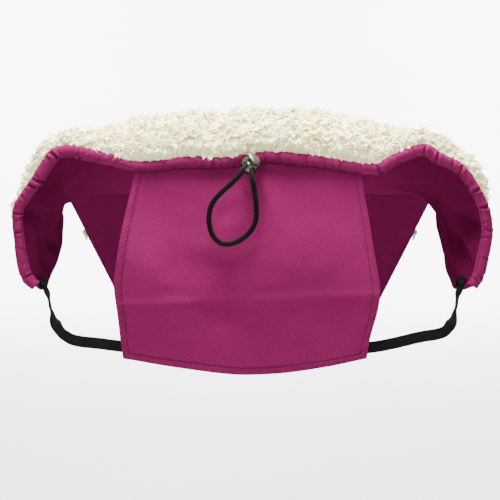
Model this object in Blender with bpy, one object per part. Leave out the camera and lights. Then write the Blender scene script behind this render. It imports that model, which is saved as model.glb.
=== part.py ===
"""Baby bunting bag for a pushchair: a padded sleeping bag whose head end pulls over the seat like a cap.

Metres, +Z up. X runs across the bag, Y from the head end towards the feet. The origin is the middle of the
rim, at the seam where the back flap hangs from the drawcord tunnel. The bag lies as on a reclined seat: the
head end is a drawn-in hood whose mouth faces -Y, and the body runs down a slope behind it.
"""

import math

import bmesh
import bpy
import numpy as np
from mathutils import Vector

# Gaps between pieces that touch, and the overrun of a cut
GAP = 0.0003
LAYER_GAP = 0.0005
HOOD_LAYER_GAP = 0.0008
OVERRUN = 0.004

# Rim of the hood, seen along +Y: from the left wing's tip over the top to the right wing's tip
RIM_HALF_WIDTH = 0.237
RIM_DROP = 0.118
RIM_SHARES = (
    (-0.905, -0.985), (-0.947, -0.890), (-0.967, -0.695), (-0.979, -0.466), (-0.977, -0.339),
    (-0.958, -0.263), (-0.895, -0.085), (-0.831, 0.102), (-0.800, 0.150), (-0.751, 0.161),
    (-0.692, 0.136), (-0.578, 0.081), (-0.515, 0.042), (-0.422, 0.034), (-0.266, 0.068),
    (-0.118, 0.064), (0.0, 0.102), (0.055, 0.114), (0.156, 0.102), (0.304, 0.068), (0.443, 0.021),
    (0.532, 0.013), (0.591, 0.068), (0.658, 0.131), (0.734, 0.169), (0.785, 0.110), (0.882, 0.008),
    (0.928, -0.110), (0.970, -0.254), (0.998, -0.441), (0.996, -0.593), (0.980, -0.771),
    (0.966, -0.890), (0.940, -0.985),
)

# Hood: from the rim back to where the flat back panel starts
HOOD_DEPTH = 0.250
HOOD_CREST = 0.038
HOOD_CREST_DEPTH = 0.045
HOOD_CREST_SOFTNESS = 0.050
WING_DROP = 0.158
WING_POWER = 1.55
ARCH_POWER = 3.2
HOOD_WAIST = 0.006
RIM_BLEND = 0.060
RIM_LIFT = 0.022
RIM_LIFT_DEPTH = 0.0375
SHOULDER_FROM_SHARE = 0.40
SHOULDER_TO_SHARE = 0.75
SHOULDER_LIFT_SHARE = 0.30
SHOULDER_THINNING_SHARE = 0.35
SHOULDER_FADE_SHARE = 0.48
SIDE_TILT = math.radians(100)
CROWN_TILT = math.radians(45)
WING_TUCK = 0.30
CROWN_LOW = -0.055
CROWN_HIGH = 0.005
HOOD_COLUMNS = 40
HOOD_ROW_SHARES = (0.06, 0.12, 0.19, 0.28, 0.40, 0.55, 0.70, 0.86, 1.0)

# Body: the slope of the seat, and the widths where the hood ends and at the foot
SLOPE = math.radians(20)
BODY_HALF_WIDTH = 0.213
FOOT_WIDTH_SHARE = 0.8732
FOOT_HALF_WIDTH = BODY_HALF_WIDTH * FOOT_WIDTH_SHARE
BODY_END = 0.945
EDGE_STRIP = 0.020
STRIP_RAMP = 0.009
PANEL_COLUMN_SHARES = (0.0, 0.35, 0.70)

# Cloth thicknesses: woven outside, wadding and sherpa pile
SHELL = 0.0015
WADDING = 0.008
PILE = 0.014
EDGE_SHARE = 0.5
EDGE_FROM_SHARE = 0.80
RIM_THICKNESS_SHARE = 0.35
RIM_THICKENING = 0.050

# Drawcord tunnel and the cord in it
TUNNEL_HALF_HEIGHT = 0.0065
TUNNEL_HALF_DEPTH = 0.0055
TUNNEL_CLOTH = 0.0012
TUNNEL_SIDES = 8
TUNNEL_PARTING = 0.0008
CORD_DIAMETER = 0.005
CORD_END_GAP = 0.0006
LOOP_TAIL = 0.005
EXIT_LEFT = -0.0145
EXIT_RIGHT = 0.0130
EXIT_CUT_RADIUS = 0.0062
EXIT_DROP_SHARE = 0.33
LOOP_STEP = 0.0050

# Front cover and its turned-down collar
COVER_START = 0.430
COVER_INSET = 0.0142
CAVITY_AT_COLLAR = 0.040
CAVITY_AT_FOOT = 0.082
CAVITY_RISE = 1.3
COVER_POWER = 2.7
COVER_ROWS = 5
COVER_SHARES = (0.0, 0.032, 0.080, 0.145, 0.225, 0.315, 0.41, 0.5, 0.59, 0.685, 0.775, 0.855, 0.92, 0.968,
                1.0)
COVER_THIN_SHARE = 0.032
COLLAR_LENGTH = 0.102
COLLAR_FIRST_COLUMN = 4
COLLAR_ROWS = 3
COLLAR_GAP = 0.0009
FOOT_INSET_SHARE = 0.012

# Harness slots: half length across, half opening along, the binding round each, and how far behind the hood
SLOT_HALF_LENGTH = 0.022
SLOT_HALF_OPENING = 0.005
SLOT_BINDING = 0.0015
SLOT_PROUD = 0.0010
SHOULDER_SLOT_X = 0.065
SHOULDER_SLOT_BEHIND = 0.060
WAIST_SLOT_X = 0.095
WAIST_SLOT_BEHIND = 0.255
CROTCH_SLOT_BEHIND = 0.310

# Side zips
ZIP_FLANGE = 0.011
ZIP_CLOTH = 0.001
ZIP_STANDOFF = 0.003
ZIP_BEAD_WIDTH = 0.0026
ZIP_BEAD_THICKNESS = 0.003
ZIP_PARTING = 0.0014
ZIP_JOG = 0.0050
ZIP_START_MARGIN = 0.004
ZIP_END_MARGIN = 0.012
STOP_LENGTH = 0.004
SLIDER_LENGTH = 0.014
SLIDER_WALL = 0.0011
SLIDER_LIP = 0.0010
SLIDER_REST = 0.012
SLIDER_EAR = 0.0010
EAR_FOOT_SHARE = 2.4
EAR_TIP_SHARE = 1.8
PIN_RADIUS = 0.0006
PIN_SIDES = 10
PIN_HEIGHT = 0.0022
EYE_RADIUS = 0.0018
EYE_HALF_LENGTH = 0.0017
PULL_LENGTH = 0.030
PULL_HALF_WIDTH = 0.0038
PULL_THICKNESS = 0.0012
PULL_NECK_SHARE = 2.2
PULL_SHARES = ((0.35, 0.8), (0.85, 1.0), (0.96, 0.85), (1.0, 0.45))
GRIP_RIB = 0.0005
GRIP_RIBS = 4
GRIP_START_SHARE = 0.50
GRIP_PITCH_SHARE = 0.09
GRIP_LENGTH_SHARE = 0.04
GRIP_WIDTH_SHARE = 0.62
EYE_SIDES = 12

# Back flap that hangs behind the seat
FLAP_HEIGHT = 0.205
FLAP_CLOTH = 0.0016
FLAP_COLUMNS = 12
FLAP_ROWS = 12
FLAP_FOLD = 0.0018
FLAP_FOLDS_ACROSS = 3.2
FLAP_FOLDS_DOWN = 0.9
HEM_WIDTH = 0.0075
HEM_CLOTH = 0.0010
FLAP_LEFT_SHARES = ((0.0, -0.561), (0.16, -0.590), (0.26, -0.612), (0.40, -0.634), (0.55, -0.654),
                    (0.62, -0.663), (0.70, -0.649), (0.80, -0.637), (0.90, -0.629), (1.0, -0.616))
FLAP_RIGHT_SHARES = ((0.0, 0.541), (0.13, 0.561), (0.25, 0.580), (0.41, 0.600), (0.56, 0.624),
                     (0.66, 0.631), (0.77, 0.612), (0.85, 0.588), (0.92, 0.576), (1.0, 0.567))
FLAP_BOTTOM_SHARES = ((0.0, 0.912), (0.15, 0.945), (0.34, 0.978), (0.50, 1.0), (0.68, 0.985), (0.86, 0.950),
                      (1.0, 0.912))
FLAP_TOP_REACH = 0.006
FLAP_LEAN = 0.021
FLAP_LEAN_SHARES = ((0.0, 0.0), (0.20, 0.36), (0.42, 0.77), (0.62, 1.0), (0.80, 0.95), (1.0, 0.76))
FLAP_SWING_HEIGHT_SHARE = 0.114

# Cord lock: a ball with two holes for the cord and a sprung plunger across them.
# Its heights run along the plunger.
LOCK_RADIUS = 0.0093
LOCK_CENTRE = Vector((-0.0002, -0.0162, 0.0052))
LOCK_CORD_DIRECTION = Vector((-0.19, -0.92, -0.35)).normalized()
LOCK_ACROSS_DIRECTION = Vector((0.82, 0.0, -0.57))
LOCK_HOLE_SPACING = 0.0085
LOCK_HOLE_RISE = 0.0010
HOLE_CLEARANCE = 0.0004
LOCK_FLOOR = -0.0080
LOCK_SHELF = -0.0050
LOCK_WALL = 0.0011
FLOOR_WALL = 0.0009
SPRING_POCKET_RADIUS = 0.0036
PLUNGER_RADIUS = 0.0061
PLUNGER_CLEARANCE = 0.0003
PLUNGER_SOLE = 0.0007
PLUNGER_TRAVEL = 0.0023
BUTTON_RADIUS = 0.0068
BUTTON_HEIGHT = 0.0018
BUTTON_DOME = 0.0006
BUTTON_RIB = 0.0004
BUTTON_RIBS = 20
SPRING_WIRE = 0.0005
SPRING_RADIUS = 0.0026
SPRING_TURNS = 3
SPRING_POINTS_PER_TURN = 9

# Elastic strap from wing tip to wing tip, behind the flap
STRAP_WIDTH = 0.0115
STRAP_THICKNESS = 0.0013
STRAP_STEP = 0.009
STRAP_SAG = 0.0615
STRAP_SHARES = (
    (-0.859, 0.571, 0.211), (-0.844, 0.405, 0.407), (-0.829, 0.214, 0.569), (-0.802, -0.048, 0.724),
    (-0.743, -0.333, 0.846), (-0.633, -0.448, 0.894), (-0.506, -0.467, 0.951), (-0.253, -0.467, 0.992),
    (0.042, -0.467, 1.000), (0.338, -0.467, 0.984), (0.498, -0.467, 0.959), (0.591, -0.448, 0.902),
    (0.717, -0.400, 0.789), (0.810, -0.262, 0.732), (0.848, 0.000, 0.618), (0.869, 0.286, 0.423),
    (0.885, 0.571, 0.211),
)
SEWN_SHARES = ((1.30, 0.0), (0.85, 0.0), (0.20, 1.4))
SEWN_SHARE = 0.020
STRAP_FLAT_SHARE = 0.055
STRAP_TURN_SHARE = 0.13
STITCH_PLATE = 0.0012
TAB_LENGTH = 0.009
TAB_HEIGHT = 0.0032
TAB_THICKNESS = 0.0015

# Smoothing of the sampled outlines
CURVE_SAMPLES = 12
ARCH_SAMPLES = 241
CORD_SIDES_RESOLUTION = 2


def clear_scene():
    for thing in list(bpy.data.objects):
        bpy.data.objects.remove(thing, do_unlink=True)


def material(name, colour, roughness, metallic=0.0):
    shade = bpy.data.materials.new(name)
    shade.use_nodes = True
    bsdf = shade.node_tree.nodes["Principled BSDF"]
    bsdf.inputs["Base Color"].default_value = (*colour, 1.0)
    bsdf.inputs["Roughness"].default_value = roughness
    bsdf.inputs["Metallic"].default_value = metallic
    shade.diffuse_color = (*colour, 1.0)
    return shade


def add_mesh(name, points, faces, shade, sharp_degrees=40):
    """A closed mesh object from points and faces, with its faces turned outwards."""
    bm = bmesh.new()
    verts = [bm.verts.new(tuple(float(c) for c in p)) for p in points]
    for face in faces:
        bm.faces.new([verts[i] for i in face])
    bmesh.ops.recalc_face_normals(bm, faces=bm.faces)
    mesh = bpy.data.meshes.new(name)
    bm.to_mesh(mesh)
    bm.free()
    mesh.materials.append(shade)
    mesh.shade_smooth()
    mesh.set_sharp_from_angle(angle=math.radians(sharp_degrees))
    thing = bpy.data.objects.new(name, mesh)
    bpy.context.scene.collection.objects.link(thing)
    return thing


def hide_cutter(thing):
    thing.hide_render = True
    thing.display_type = "WIRE"


def boolean(thing, other, operation):
    """Cuts or joins with the EXACT solver, on flat triangles so that each step meets plain faces."""
    thing.modifiers.new("Facets", "TRIANGULATE")
    cut = thing.modifiers.new(operation.title(), "BOOLEAN")
    cut.operation = operation
    cut.solver = "EXACT"
    cut.object = other


def smooth_step(value):
    t = np.clip(value, 0.0, 1.0)
    return t * t * (3 - 2 * t)


def smooth_curve(points, samples=CURVE_SAMPLES):
    """A Catmull-Rom curve through the points, sampled finely."""
    p = np.array(points, float)
    p = np.vstack([2 * p[0] - p[1], p, 2 * p[-1] - p[-2]])
    out = []
    for a, b, c, d in zip(p, p[1:], p[2:], p[3:]):
        for t in np.linspace(0, 1, samples, endpoint=False):
            out.append(0.5 * (2 * b + (c - a) * t + (2 * a - 5 * b + 4 * c - d) * t**2
                              + (3 * b - a - 3 * c + d) * t**3))
    out.append(p[-2])
    return np.array(out)


def lengths_along(line):
    steps = np.linalg.norm(np.diff(line, axis=0), axis=1)
    return np.concatenate([[0.0], np.cumsum(steps)])


def at_shares(line, shares):
    """Points of a polyline at shares of its length."""
    along = lengths_along(line)
    places = np.array(shares) * along[-1]
    return np.stack([np.interp(places, along, line[:, k]) for k in range(line.shape[1])], axis=1)


def even_points(line, step):
    count = max(2, int(math.ceil(lengths_along(line)[-1] / step)))
    return at_shares(line, np.linspace(0, 1, count + 1))


def table(shares, value):
    keys = [row[0] for row in shares]
    return np.interp(value, keys, [row[1] for row in shares])


def grid_normals(grid):
    """Unit normals of a grid of points, turned to the outer side of the arch."""
    across = np.gradient(grid, axis=1)
    along = np.gradient(grid, axis=0)
    normal = np.cross(across, along)
    normal /= np.linalg.norm(normal, axis=2, keepdims=True)
    middle = normal[-1, grid.shape[1] // 2]
    return normal if middle[2] > 0 else -normal


def grid_solid(name, lower, upper, shade, sharp_degrees=40):
    """A closed sheet between two grids of points that have the same rows and columns."""
    rows, columns = lower.shape[:2]
    points = np.concatenate([lower.reshape(-1, 3), upper.reshape(-1, 3)])
    shift = rows * columns
    faces = []
    for r in range(rows - 1):
        for c in range(columns - 1):
            a = r * columns + c
            b, d, e = a + 1, a + columns, a + columns + 1
            faces += [(a, b, e), (a, e, d)]
            faces += [(shift + a, shift + e, shift + b), (shift + a, shift + d, shift + e)]
    ring = [c for c in range(columns)]
    ring += [r * columns + columns - 1 for r in range(1, rows)]
    ring += [(rows - 1) * columns + c for c in range(columns - 2, -1, -1)]
    ring += [r * columns for r in range(rows - 2, 0, -1)]
    for a, b in zip(ring, ring[1:] + ring[:1]):
        faces.append((a, b, shift + b, shift + a))
    return add_mesh(name, points, faces, shade, sharp_degrees)


def sweep_solid(name, sections, shade, closed_ends=True, sharp_degrees=40):
    """A solid through a list of equal rings of points."""
    count = len(sections[0])
    points = np.concatenate(sections)
    faces = []
    for k in range(len(sections) - 1):
        for i in range(count):
            j = (i + 1) % count
            a, b = k * count + i, k * count + j
            faces.append((a, b, b + count, a + count))
    if closed_ends:
        last = (len(sections) - 1) * count
        faces.append(tuple(range(count)))
        faces.append(tuple(last + i for i in reversed(range(count))))
    return add_mesh(name, points, faces, shade, sharp_degrees)


def join_rings_solid(name, outer, inner, shade, sharp_degrees=40):
    """An open-ended tube from rings of points outside and inside; both lists have as many rings."""
    out_count, in_count = len(outer[0]), len(inner[0])
    points = np.concatenate(list(outer) + list(inner))
    shift = len(outer) * out_count
    faces = []
    for k in range(len(outer) - 1):
        for i in range(out_count):
            j = (i + 1) % out_count
            a, b = k * out_count + i, k * out_count + j
            faces.append((a, b, b + out_count, a + out_count))
        for i in range(in_count):
            j = (i + 1) % in_count
            a, b = shift + k * in_count + i, shift + k * in_count + j
            faces.append((a, b, b + in_count, a + in_count))
    for k in (0, len(outer) - 1):
        for i in range(out_count):
            j = (i + 1) % out_count
            a, b = k * out_count + i, k * out_count + j
            faces.append((a, b, shift + k * in_count + j, shift + k * in_count + i))
    return add_mesh(name, points, faces, shade, sharp_degrees)


def cord_object(name, points, diameter, shade, resolution=CORD_SIDES_RESOLUTION):
    curve = bpy.data.curves.new(name, "CURVE")
    curve.dimensions = "3D"
    curve.bevel_depth = diameter / 2
    curve.bevel_resolution = resolution
    curve.use_fill_caps = True
    spline = curve.splines.new("POLY")
    spline.points.add(len(points) - 1)
    for spot, p in zip(spline.points, points):
        spot.co = (*p, 1.0)
    curve.materials.append(shade)
    thing = bpy.data.objects.new(name, curve)
    bpy.context.scene.collection.objects.link(thing)
    return thing


def revolve(name, profile, centre, axis, shade, segments, sharp_degrees=30):
    """A solid of revolution; profile is (radius, height) from one end of the axis to the other."""
    up = Vector(axis).normalized()
    side = up.orthogonal().normalized()
    third = up.cross(side)
    points, rings = [], []
    for radius, height in profile:
        base = Vector(centre) + up * height
        if radius <= 0:
            rings.append([len(points)])
            points.append(base)
            continue
        ring = []
        for k in range(segments):
            turn = math.tau * k / segments
            ring.append(len(points))
            points.append(base + side * (radius * math.cos(turn)) + third * (radius * math.sin(turn)))
        rings.append(ring)
    faces = []
    for a, b in zip(rings, rings[1:]):
        for k in range(segments):
            j = (k + 1) % segments
            if len(a) == 1:
                faces.append((a[0], b[k], b[j]))
            elif len(b) == 1:
                faces.append((a[k], a[j], b[0]))
            else:
                faces.append((a[k], a[j], b[j], b[k]))
    return add_mesh(name, points, faces, shade, sharp_degrees)


def cylinder(name, start, end, radius, shade, segments=20):
    direction = Vector(end) - Vector(start)
    profile = ((0.0, 0.0), (radius, 0.0), (radius, direction.length), (0.0, direction.length))
    return revolve(name, profile, start, direction, shade, segments)


# Shape of the bag

def centre_height(y):
    """Height of the outer cloth on the middle line."""
    behind = np.asarray(y) - HOOD_CREST_DEPTH
    soft = 0.5 * (behind + np.sqrt(behind**2 + HOOD_CREST_SOFTNESS**2))
    return HOOD_CREST - math.tan(SLOPE) * soft


def body_height(y):
    """Height of the flat underside of the body, which goes on from the hood in a straight slope."""
    return centre_height(HOOD_DEPTH) - math.tan(SLOPE) * (np.asarray(y) - HOOD_DEPTH)


def half_width(y):
    share = (np.asarray(y) - HOOD_DEPTH) / (BODY_END - HOOD_DEPTH)
    return BODY_HALF_WIDTH + (FOOT_HALF_WIDTH - BODY_HALF_WIDTH) * share


def slope_normal():
    return np.array((0.0, math.sin(SLOPE), math.cos(SLOPE)))


def rim_line():
    points = [(x * RIM_HALF_WIDTH, 0.0, z * RIM_DROP) for x, z in RIM_SHARES]
    return smooth_curve(points)


def rim_path():
    """The rim's line at the hood's columns, so that the hood, the tunnels and the cord bend together."""
    return at_shares(rim_line(), np.linspace(0, 1, HOOD_COLUMNS + 1))


def rim_point(x):
    """The rim's centre line at a given x, read off its upper stretch."""
    upper = np.array([p for p in rim_path() if p[2] > CROWN_LOW / 2])
    upper = upper[np.argsort(upper[:, 0])]
    return np.array((x, 0.0, np.interp(x, upper[:, 0], upper[:, 2])))


def rim_outward(line):
    """Unit vectors from the mouth outwards, in the plane of the rim."""
    tangent = np.gradient(line, axis=0)
    tangent /= np.linalg.norm(tangent, axis=1, keepdims=True)
    return np.stack([-tangent[:, 2], np.zeros(len(line)), tangent[:, 0]], axis=1)


def arch_section(y, shares):
    """The hood's cross-section: flat on top, rounded over into two hanging walls."""
    width = BODY_HALF_WIDTH - HOOD_WAIST * math.sin(math.pi * y / HOOD_DEPTH)
    drop = WING_DROP * (1 - (y / HOOD_DEPTH) ** WING_POWER)
    turn = np.linspace(math.pi, 0, ARCH_SAMPLES)
    reach = np.sign(np.cos(turn)) * np.abs(np.cos(turn)) ** (2 / ARCH_POWER) * width
    fall = -drop * (1 - np.abs(np.sin(turn)) ** (2 / ARCH_POWER))
    line = np.stack([reach, np.full_like(reach, y), centre_height(y) + fall], axis=1)
    return at_shares(line, shares)


def shoulder_share(base):
    """How far out towards the wings the rim's places lie: 0 over the crown and 1 from the shoulders on."""
    out = np.abs(base[:, 0]) / RIM_HALF_WIDTH
    return smooth_step((out - SHOULDER_FROM_SHARE) / (SHOULDER_TO_SHARE - SHOULDER_FROM_SHARE))


def hood_grid():
    """The seat side of the hood's outer cloth, from the tunnel to the back panel."""
    shares = np.linspace(0, 1, HOOD_COLUMNS + 1)
    base = rim_path()
    outward = rim_outward(base)
    crown = smooth_step((base[:, 2] - CROWN_LOW) / (CROWN_HIGH - CROWN_LOW))[:, None]
    crown_lift = RIM_LIFT * crown * (1 - (1 - SHOULDER_LIFT_SHARE) * shoulder_share(base)[:, None])
    forward = np.array((0.0, 1.0, 0.0))
    reach = TUNNEL_HALF_HEIGHT + LAYER_GAP
    tilt = SIDE_TILT + (CROWN_TILT - SIDE_TILT) * crown
    rows = [base + reach * (np.cos(tilt) * outward + np.sin(tilt) * forward)]
    for share in HOOD_ROW_SHARES:
        y = share * HOOD_DEPTH
        lift = crown_lift * smooth_step(y / RIM_LIFT_DEPTH) - y * WING_TUCK * (1 - crown)
        near = base + outward * (reach * crown + lift) + forward * y
        blend = 1 - smooth_step(y / RIM_BLEND)
        rows.append(blend * near + (1 - blend) * arch_section(y, shares))
    rows[-1][:, 1] -= LAYER_GAP / 2
    return np.array(rows)


def hood_thickness(grid):
    """Share of the full thickness: thin at the rim, over the shoulders and along the wings' lower edges."""
    rows, columns = grid.shape[:2]
    side = np.abs(np.linspace(-1, 1, columns))[None, :]
    edge = 1 - (1 - EDGE_SHARE) * smooth_step((side - EDGE_FROM_SHARE) / (1 - EDGE_FROM_SHARE))
    depth = grid[:, :, 1]
    near = RIM_THICKNESS_SHARE + (1 - RIM_THICKNESS_SHARE) * smooth_step(depth / RIM_THICKENING)
    fade = smooth_step((1 - depth / HOOD_DEPTH) / (1 - SHOULDER_FADE_SHARE))
    thin = 1 - SHOULDER_THINNING_SHARE * shoulder_share(rim_path())[None, :] * fade
    return (np.minimum(near, edge) * thin)[:, :, None]


def build_hood(shades):
    grid = hood_grid()
    normal = grid_normals(grid)
    thick = hood_thickness(grid)
    shell_top = grid + normal * SHELL
    grid_solid("hood_shell", grid, shell_top, shades["canvas"])
    pad_low = shell_top + normal * HOOD_LAYER_GAP
    pad_top = pad_low + normal * WADDING * thick
    grid_solid("hood_padding", pad_low[1:], pad_top[1:], shades["wadding"])
    lining_low = pad_top + normal * HOOD_LAYER_GAP
    lining_low[0] = pad_low[0]
    lining_top = lining_low + normal * PILE * thick
    grid_solid("hood_lining", lining_low, lining_top, shades["sherpa"])


def tunnel_rings(line, half_height, half_depth):
    outward = rim_outward(line)
    turn = math.tau * np.arange(TUNNEL_SIDES) / TUNNEL_SIDES
    deep = np.outer(np.sin(turn) * half_depth, (0, 1, 0))
    return [p + np.outer(np.cos(turn) * half_height, out) + deep for p, out in zip(line, outward)]


def rim_halves():
    """The rim's centre line on the left and on the right of the parting, with no bend right beside it."""
    line = rim_path()
    left = [p for p in line if p[0] < -TUNNEL_HALF_HEIGHT]
    right = [p for p in line if p[0] > TUNNEL_HALF_HEIGHT]
    left.append(rim_point(-TUNNEL_PARTING / 2))
    right.insert(0, rim_point(TUNNEL_PARTING / 2))
    return np.array(left), np.array(right)


def build_tunnels(shades):
    left, right = rim_halves()
    mouth_height = rim_point(0.0)[2] - TUNNEL_HALF_HEIGHT * EXIT_DROP_SHARE
    start = Vector((EXIT_LEFT - CORD_DIAMETER / 2, -TUNNEL_HALF_DEPTH, mouth_height))
    end = Vector((EXIT_RIGHT + CORD_DIAMETER / 2, -TUNNEL_HALF_DEPTH, mouth_height))
    for name, path in (("rim_tunnel_left", left), ("rim_tunnel_right", right)):
        outer = tunnel_rings(path, TUNNEL_HALF_HEIGHT, TUNNEL_HALF_DEPTH)
        inner = tunnel_rings(path, TUNNEL_HALF_HEIGHT - TUNNEL_CLOTH, TUNNEL_HALF_DEPTH - TUNNEL_CLOTH)
        tunnel = join_rings_solid(name, outer, inner, shades["canvas"])
        cutter = cylinder(name + "_mouth", start, end, EXIT_CUT_RADIUS, shades["canvas"])
        hide_cutter(cutter)
        boolean(tunnel, cutter, "DIFFERENCE")


def build_held_cords(shades):
    """The stretches of drawcord inside the two tunnels, sewn in at the wing tips."""
    left, right = rim_halves()
    inset = TUNNEL_CLOTH * 2
    ends = (("drawcord_left", left, EXIT_LEFT, -1), ("drawcord_right", right, EXIT_RIGHT, 1))
    for name, line, limit, side in ends:
        reach = LOOP_TAIL + CORD_END_GAP
        inside = np.array([p for p in line if side * (p[0] - limit) > reach])
        end = rim_point(limit + side * reach)
        inside = np.vstack([inside, end]) if side < 0 else np.vstack([end, inside])
        tip, before = (0, 1) if side < 0 else (-1, -2)
        back = inside[before] - inside[tip]
        inside[tip] += back * inset / np.linalg.norm(back)
        cord_object(name, inside, CORD_DIAMETER, shades["cord"])


def panel_columns(y):
    """Places across the back panel: the edge, the thin strip, its ramp and the full thickness."""
    width = half_width(y)
    inner = width - EDGE_STRIP - STRIP_RAMP
    right = [inner * share for share in PANEL_COLUMN_SHARES] + [inner, width - EDGE_STRIP, width]
    left = [-x for x in reversed(right[1:])]
    return np.array(left + right)


def panel_thickness(count):
    share = np.ones(count)
    share[:2] = EDGE_SHARE
    share[-2:] = EDGE_SHARE
    return share[:, None]


def back_top(share=1.0):
    """Height of the back's lining above the underside, at a share of the full thickness."""
    return SHELL + LAYER_GAP + WADDING * share + LAYER_GAP + PILE * share


def slot_places():
    places = (
        ("shoulder_left", -SHOULDER_SLOT_X, SHOULDER_SLOT_BEHIND),
        ("shoulder_right", SHOULDER_SLOT_X, SHOULDER_SLOT_BEHIND),
        ("waist_left", -WAIST_SLOT_X, WAIST_SLOT_BEHIND),
        ("waist_right", WAIST_SLOT_X, WAIST_SLOT_BEHIND),
        ("crotch", 0.0, CROTCH_SLOT_BEHIND),
    )
    return [(name, x, HOOD_DEPTH + behind) for name, x, behind in places]


def slot_outline(x, y, half_length, half_opening, sides=6):
    """A slot with round ends, seen from above."""
    points = []
    straight = half_length - half_opening
    for centre, start in ((straight, -math.pi / 2), (-straight, math.pi / 2)):
        for k in range(sides + 1):
            turn = start + math.pi * k / sides
            points.append((x + centre + half_opening * math.cos(turn), y + half_opening * math.sin(turn)))
    return points


def slot_ring(outline, rise):
    """An outline on the slope, raised by a height measured along the slope's normal."""
    return np.array([(x, y, body_height(y) + rise / math.cos(SLOPE)) for x, y in outline])


def build_back(shades):
    rows = (HOOD_DEPTH + LAYER_GAP / 2, (HOOD_DEPTH + BODY_END) / 2, BODY_END)
    base = np.array([[(x, y, body_height(y)) for x in panel_columns(y)] for y in rows])
    normal = slope_normal()
    thick = panel_thickness(base.shape[1])
    level = SHELL
    layers = [("back_shell", base, base + normal * level, "canvas")]
    low = base + normal * (level + LAYER_GAP)
    high = low + thick * normal * WADDING
    layers.append(("back_padding", low, high, "wadding"))
    low = high + normal * LAYER_GAP
    layers.append(("back_lining", low, low + thick * normal * PILE, "sherpa"))
    wall = SLOT_BINDING + GAP
    cutters = []
    for name, x, y in slot_places():
        hole = slot_outline(x, y, SLOT_HALF_LENGTH + wall, SLOT_HALF_OPENING + wall)
        rings = [slot_ring(hole, -OVERRUN), slot_ring(hole, back_top() + OVERRUN)]
        cutter = sweep_solid(name + "_hole", rings, shades["binding"])
        hide_cutter(cutter)
        cutters.append(cutter)
        outer = slot_outline(x, y, SLOT_HALF_LENGTH + SLOT_BINDING, SLOT_HALF_OPENING + SLOT_BINDING)
        inner = slot_outline(x, y, SLOT_HALF_LENGTH, SLOT_HALF_OPENING)
        heights = (-SLOT_PROUD, back_top() + SLOT_PROUD)
        join_rings_solid("slot_binding_" + name, [slot_ring(outer, h) for h in heights],
                         [slot_ring(inner, h) for h in heights], shades["binding"])
    for name, low, high, shade in layers:
        layer = grid_solid(name, low, high, shades[shade], 60)
        for cutter in cutters:
            boolean(layer, cutter, "DIFFERENCE")


# Front cover

def cover_base():
    """Height of the cover's lower edge above the underside of the back."""
    return back_top(EDGE_SHARE) + GAP


def cover_arch(y):
    """The inner face of the cover's cross-section, in x and height above the slope."""
    share = (y - COVER_START) / (BODY_END - COVER_START)
    grown = smooth_step(share * CAVITY_RISE)
    crown = back_top() + CAVITY_AT_COLLAR + (CAVITY_AT_FOOT - CAVITY_AT_COLLAR) * grown
    width = half_width(y) - COVER_INSET
    turn = np.linspace(math.pi, 0, ARCH_SAMPLES)
    reach = np.sign(np.cos(turn)) * np.abs(np.cos(turn)) ** (2 / COVER_POWER) * width
    rise = cover_base() + (crown - cover_base()) * np.abs(np.sin(turn)) ** (2 / COVER_POWER)
    return np.stack([reach, rise], axis=1)


def on_slope(x, y, rise):
    """A point that lies a given height above the slope, measured along its normal."""
    return np.array((x, y, body_height(y))) + slope_normal() * rise


def cover_grid():
    rows = []
    for y in np.linspace(COVER_START, BODY_END, COVER_ROWS + 1):
        section = at_shares(cover_arch(y), COVER_SHARES)
        rows.append([on_slope(x, y, rise) for x, rise in section])
    return np.array(rows)


def cover_thickness():
    side = np.minimum(np.array(COVER_SHARES), 1 - np.array(COVER_SHARES))
    grow = smooth_step((side - COVER_THIN_SHARE) / (COVER_SHARES[3] - COVER_THIN_SHARE))
    return (EDGE_SHARE + (1 - EDGE_SHARE) * grow)[None, :, None]


def cover_normals(grid):
    """Normals across the cover, kept level at the lower edges so that the edges stay on the back."""
    normal = grid_normals(grid)
    along = np.array((0.0, math.cos(SLOPE), -math.sin(SLOPE)))
    normal -= (normal @ along)[:, :, None] * along
    for column, side in ((0, -1.0), (-1, 1.0)):
        normal[:, column] = (side, 0.0, 0.0)
    return normal / np.linalg.norm(normal, axis=2, keepdims=True)


def cover_layers():
    grid = cover_grid()
    normal = cover_normals(grid)
    thick = cover_thickness()
    lining_top = grid + normal * PILE * thick
    pad_low = lining_top + normal * LAYER_GAP
    pad_top = pad_low + normal * WADDING * thick
    shell_low = pad_top + normal * LAYER_GAP
    return ((grid, lining_top), (pad_low, pad_top), (shell_low, shell_low + normal * SHELL))


def build_cover(shades):
    for (low, high), name, shade in zip(cover_layers(), ("cover_lining", "cover_padding", "cover_shell"),
                                        ("sherpa", "wadding", "canvas")):
        grid_solid(name, low, high, shades[shade])


def cover_section(y):
    """The cover's outer face at a place along the bag, as points at the cover's own columns."""
    outer = cover_layers()[2][1]
    ys = np.linspace(COVER_START, BODY_END, COVER_ROWS + 1)
    row = min(int((y - COVER_START) / (ys[1] - ys[0])), COVER_ROWS - 1)
    share = (y - ys[row]) / (ys[1] - ys[0])
    return outer[row] * (1 - share) + outer[row + 1] * share


def collar_axis():
    """The fold: the crown of the cover's outer face at its head end."""
    section = cover_section(COVER_START)
    return section[len(section) // 2]


def build_collar(shades):
    """The top of the cover, folded down on it with the sherpa outside."""
    normal = slope_normal()
    columns = slice(COLLAR_FIRST_COLUMN, len(COVER_SHARES) - COLLAR_FIRST_COLUMN)
    places = COVER_START + GAP + np.linspace(0, COLLAR_LENGTH, COLLAR_ROWS + 1)
    low = np.array([cover_section(y)[columns] for y in places]) + normal * COLLAR_GAP
    layers = (("collar_shell", SHELL, "canvas"), ("collar_padding", WADDING, "wadding"),
              ("collar_lining", PILE, "sherpa"))
    for name, thickness, shade in layers:
        grid_solid(name, low, low + normal * thickness, shades[shade])
        low = low + normal * (thickness + LAYER_GAP)


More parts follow.
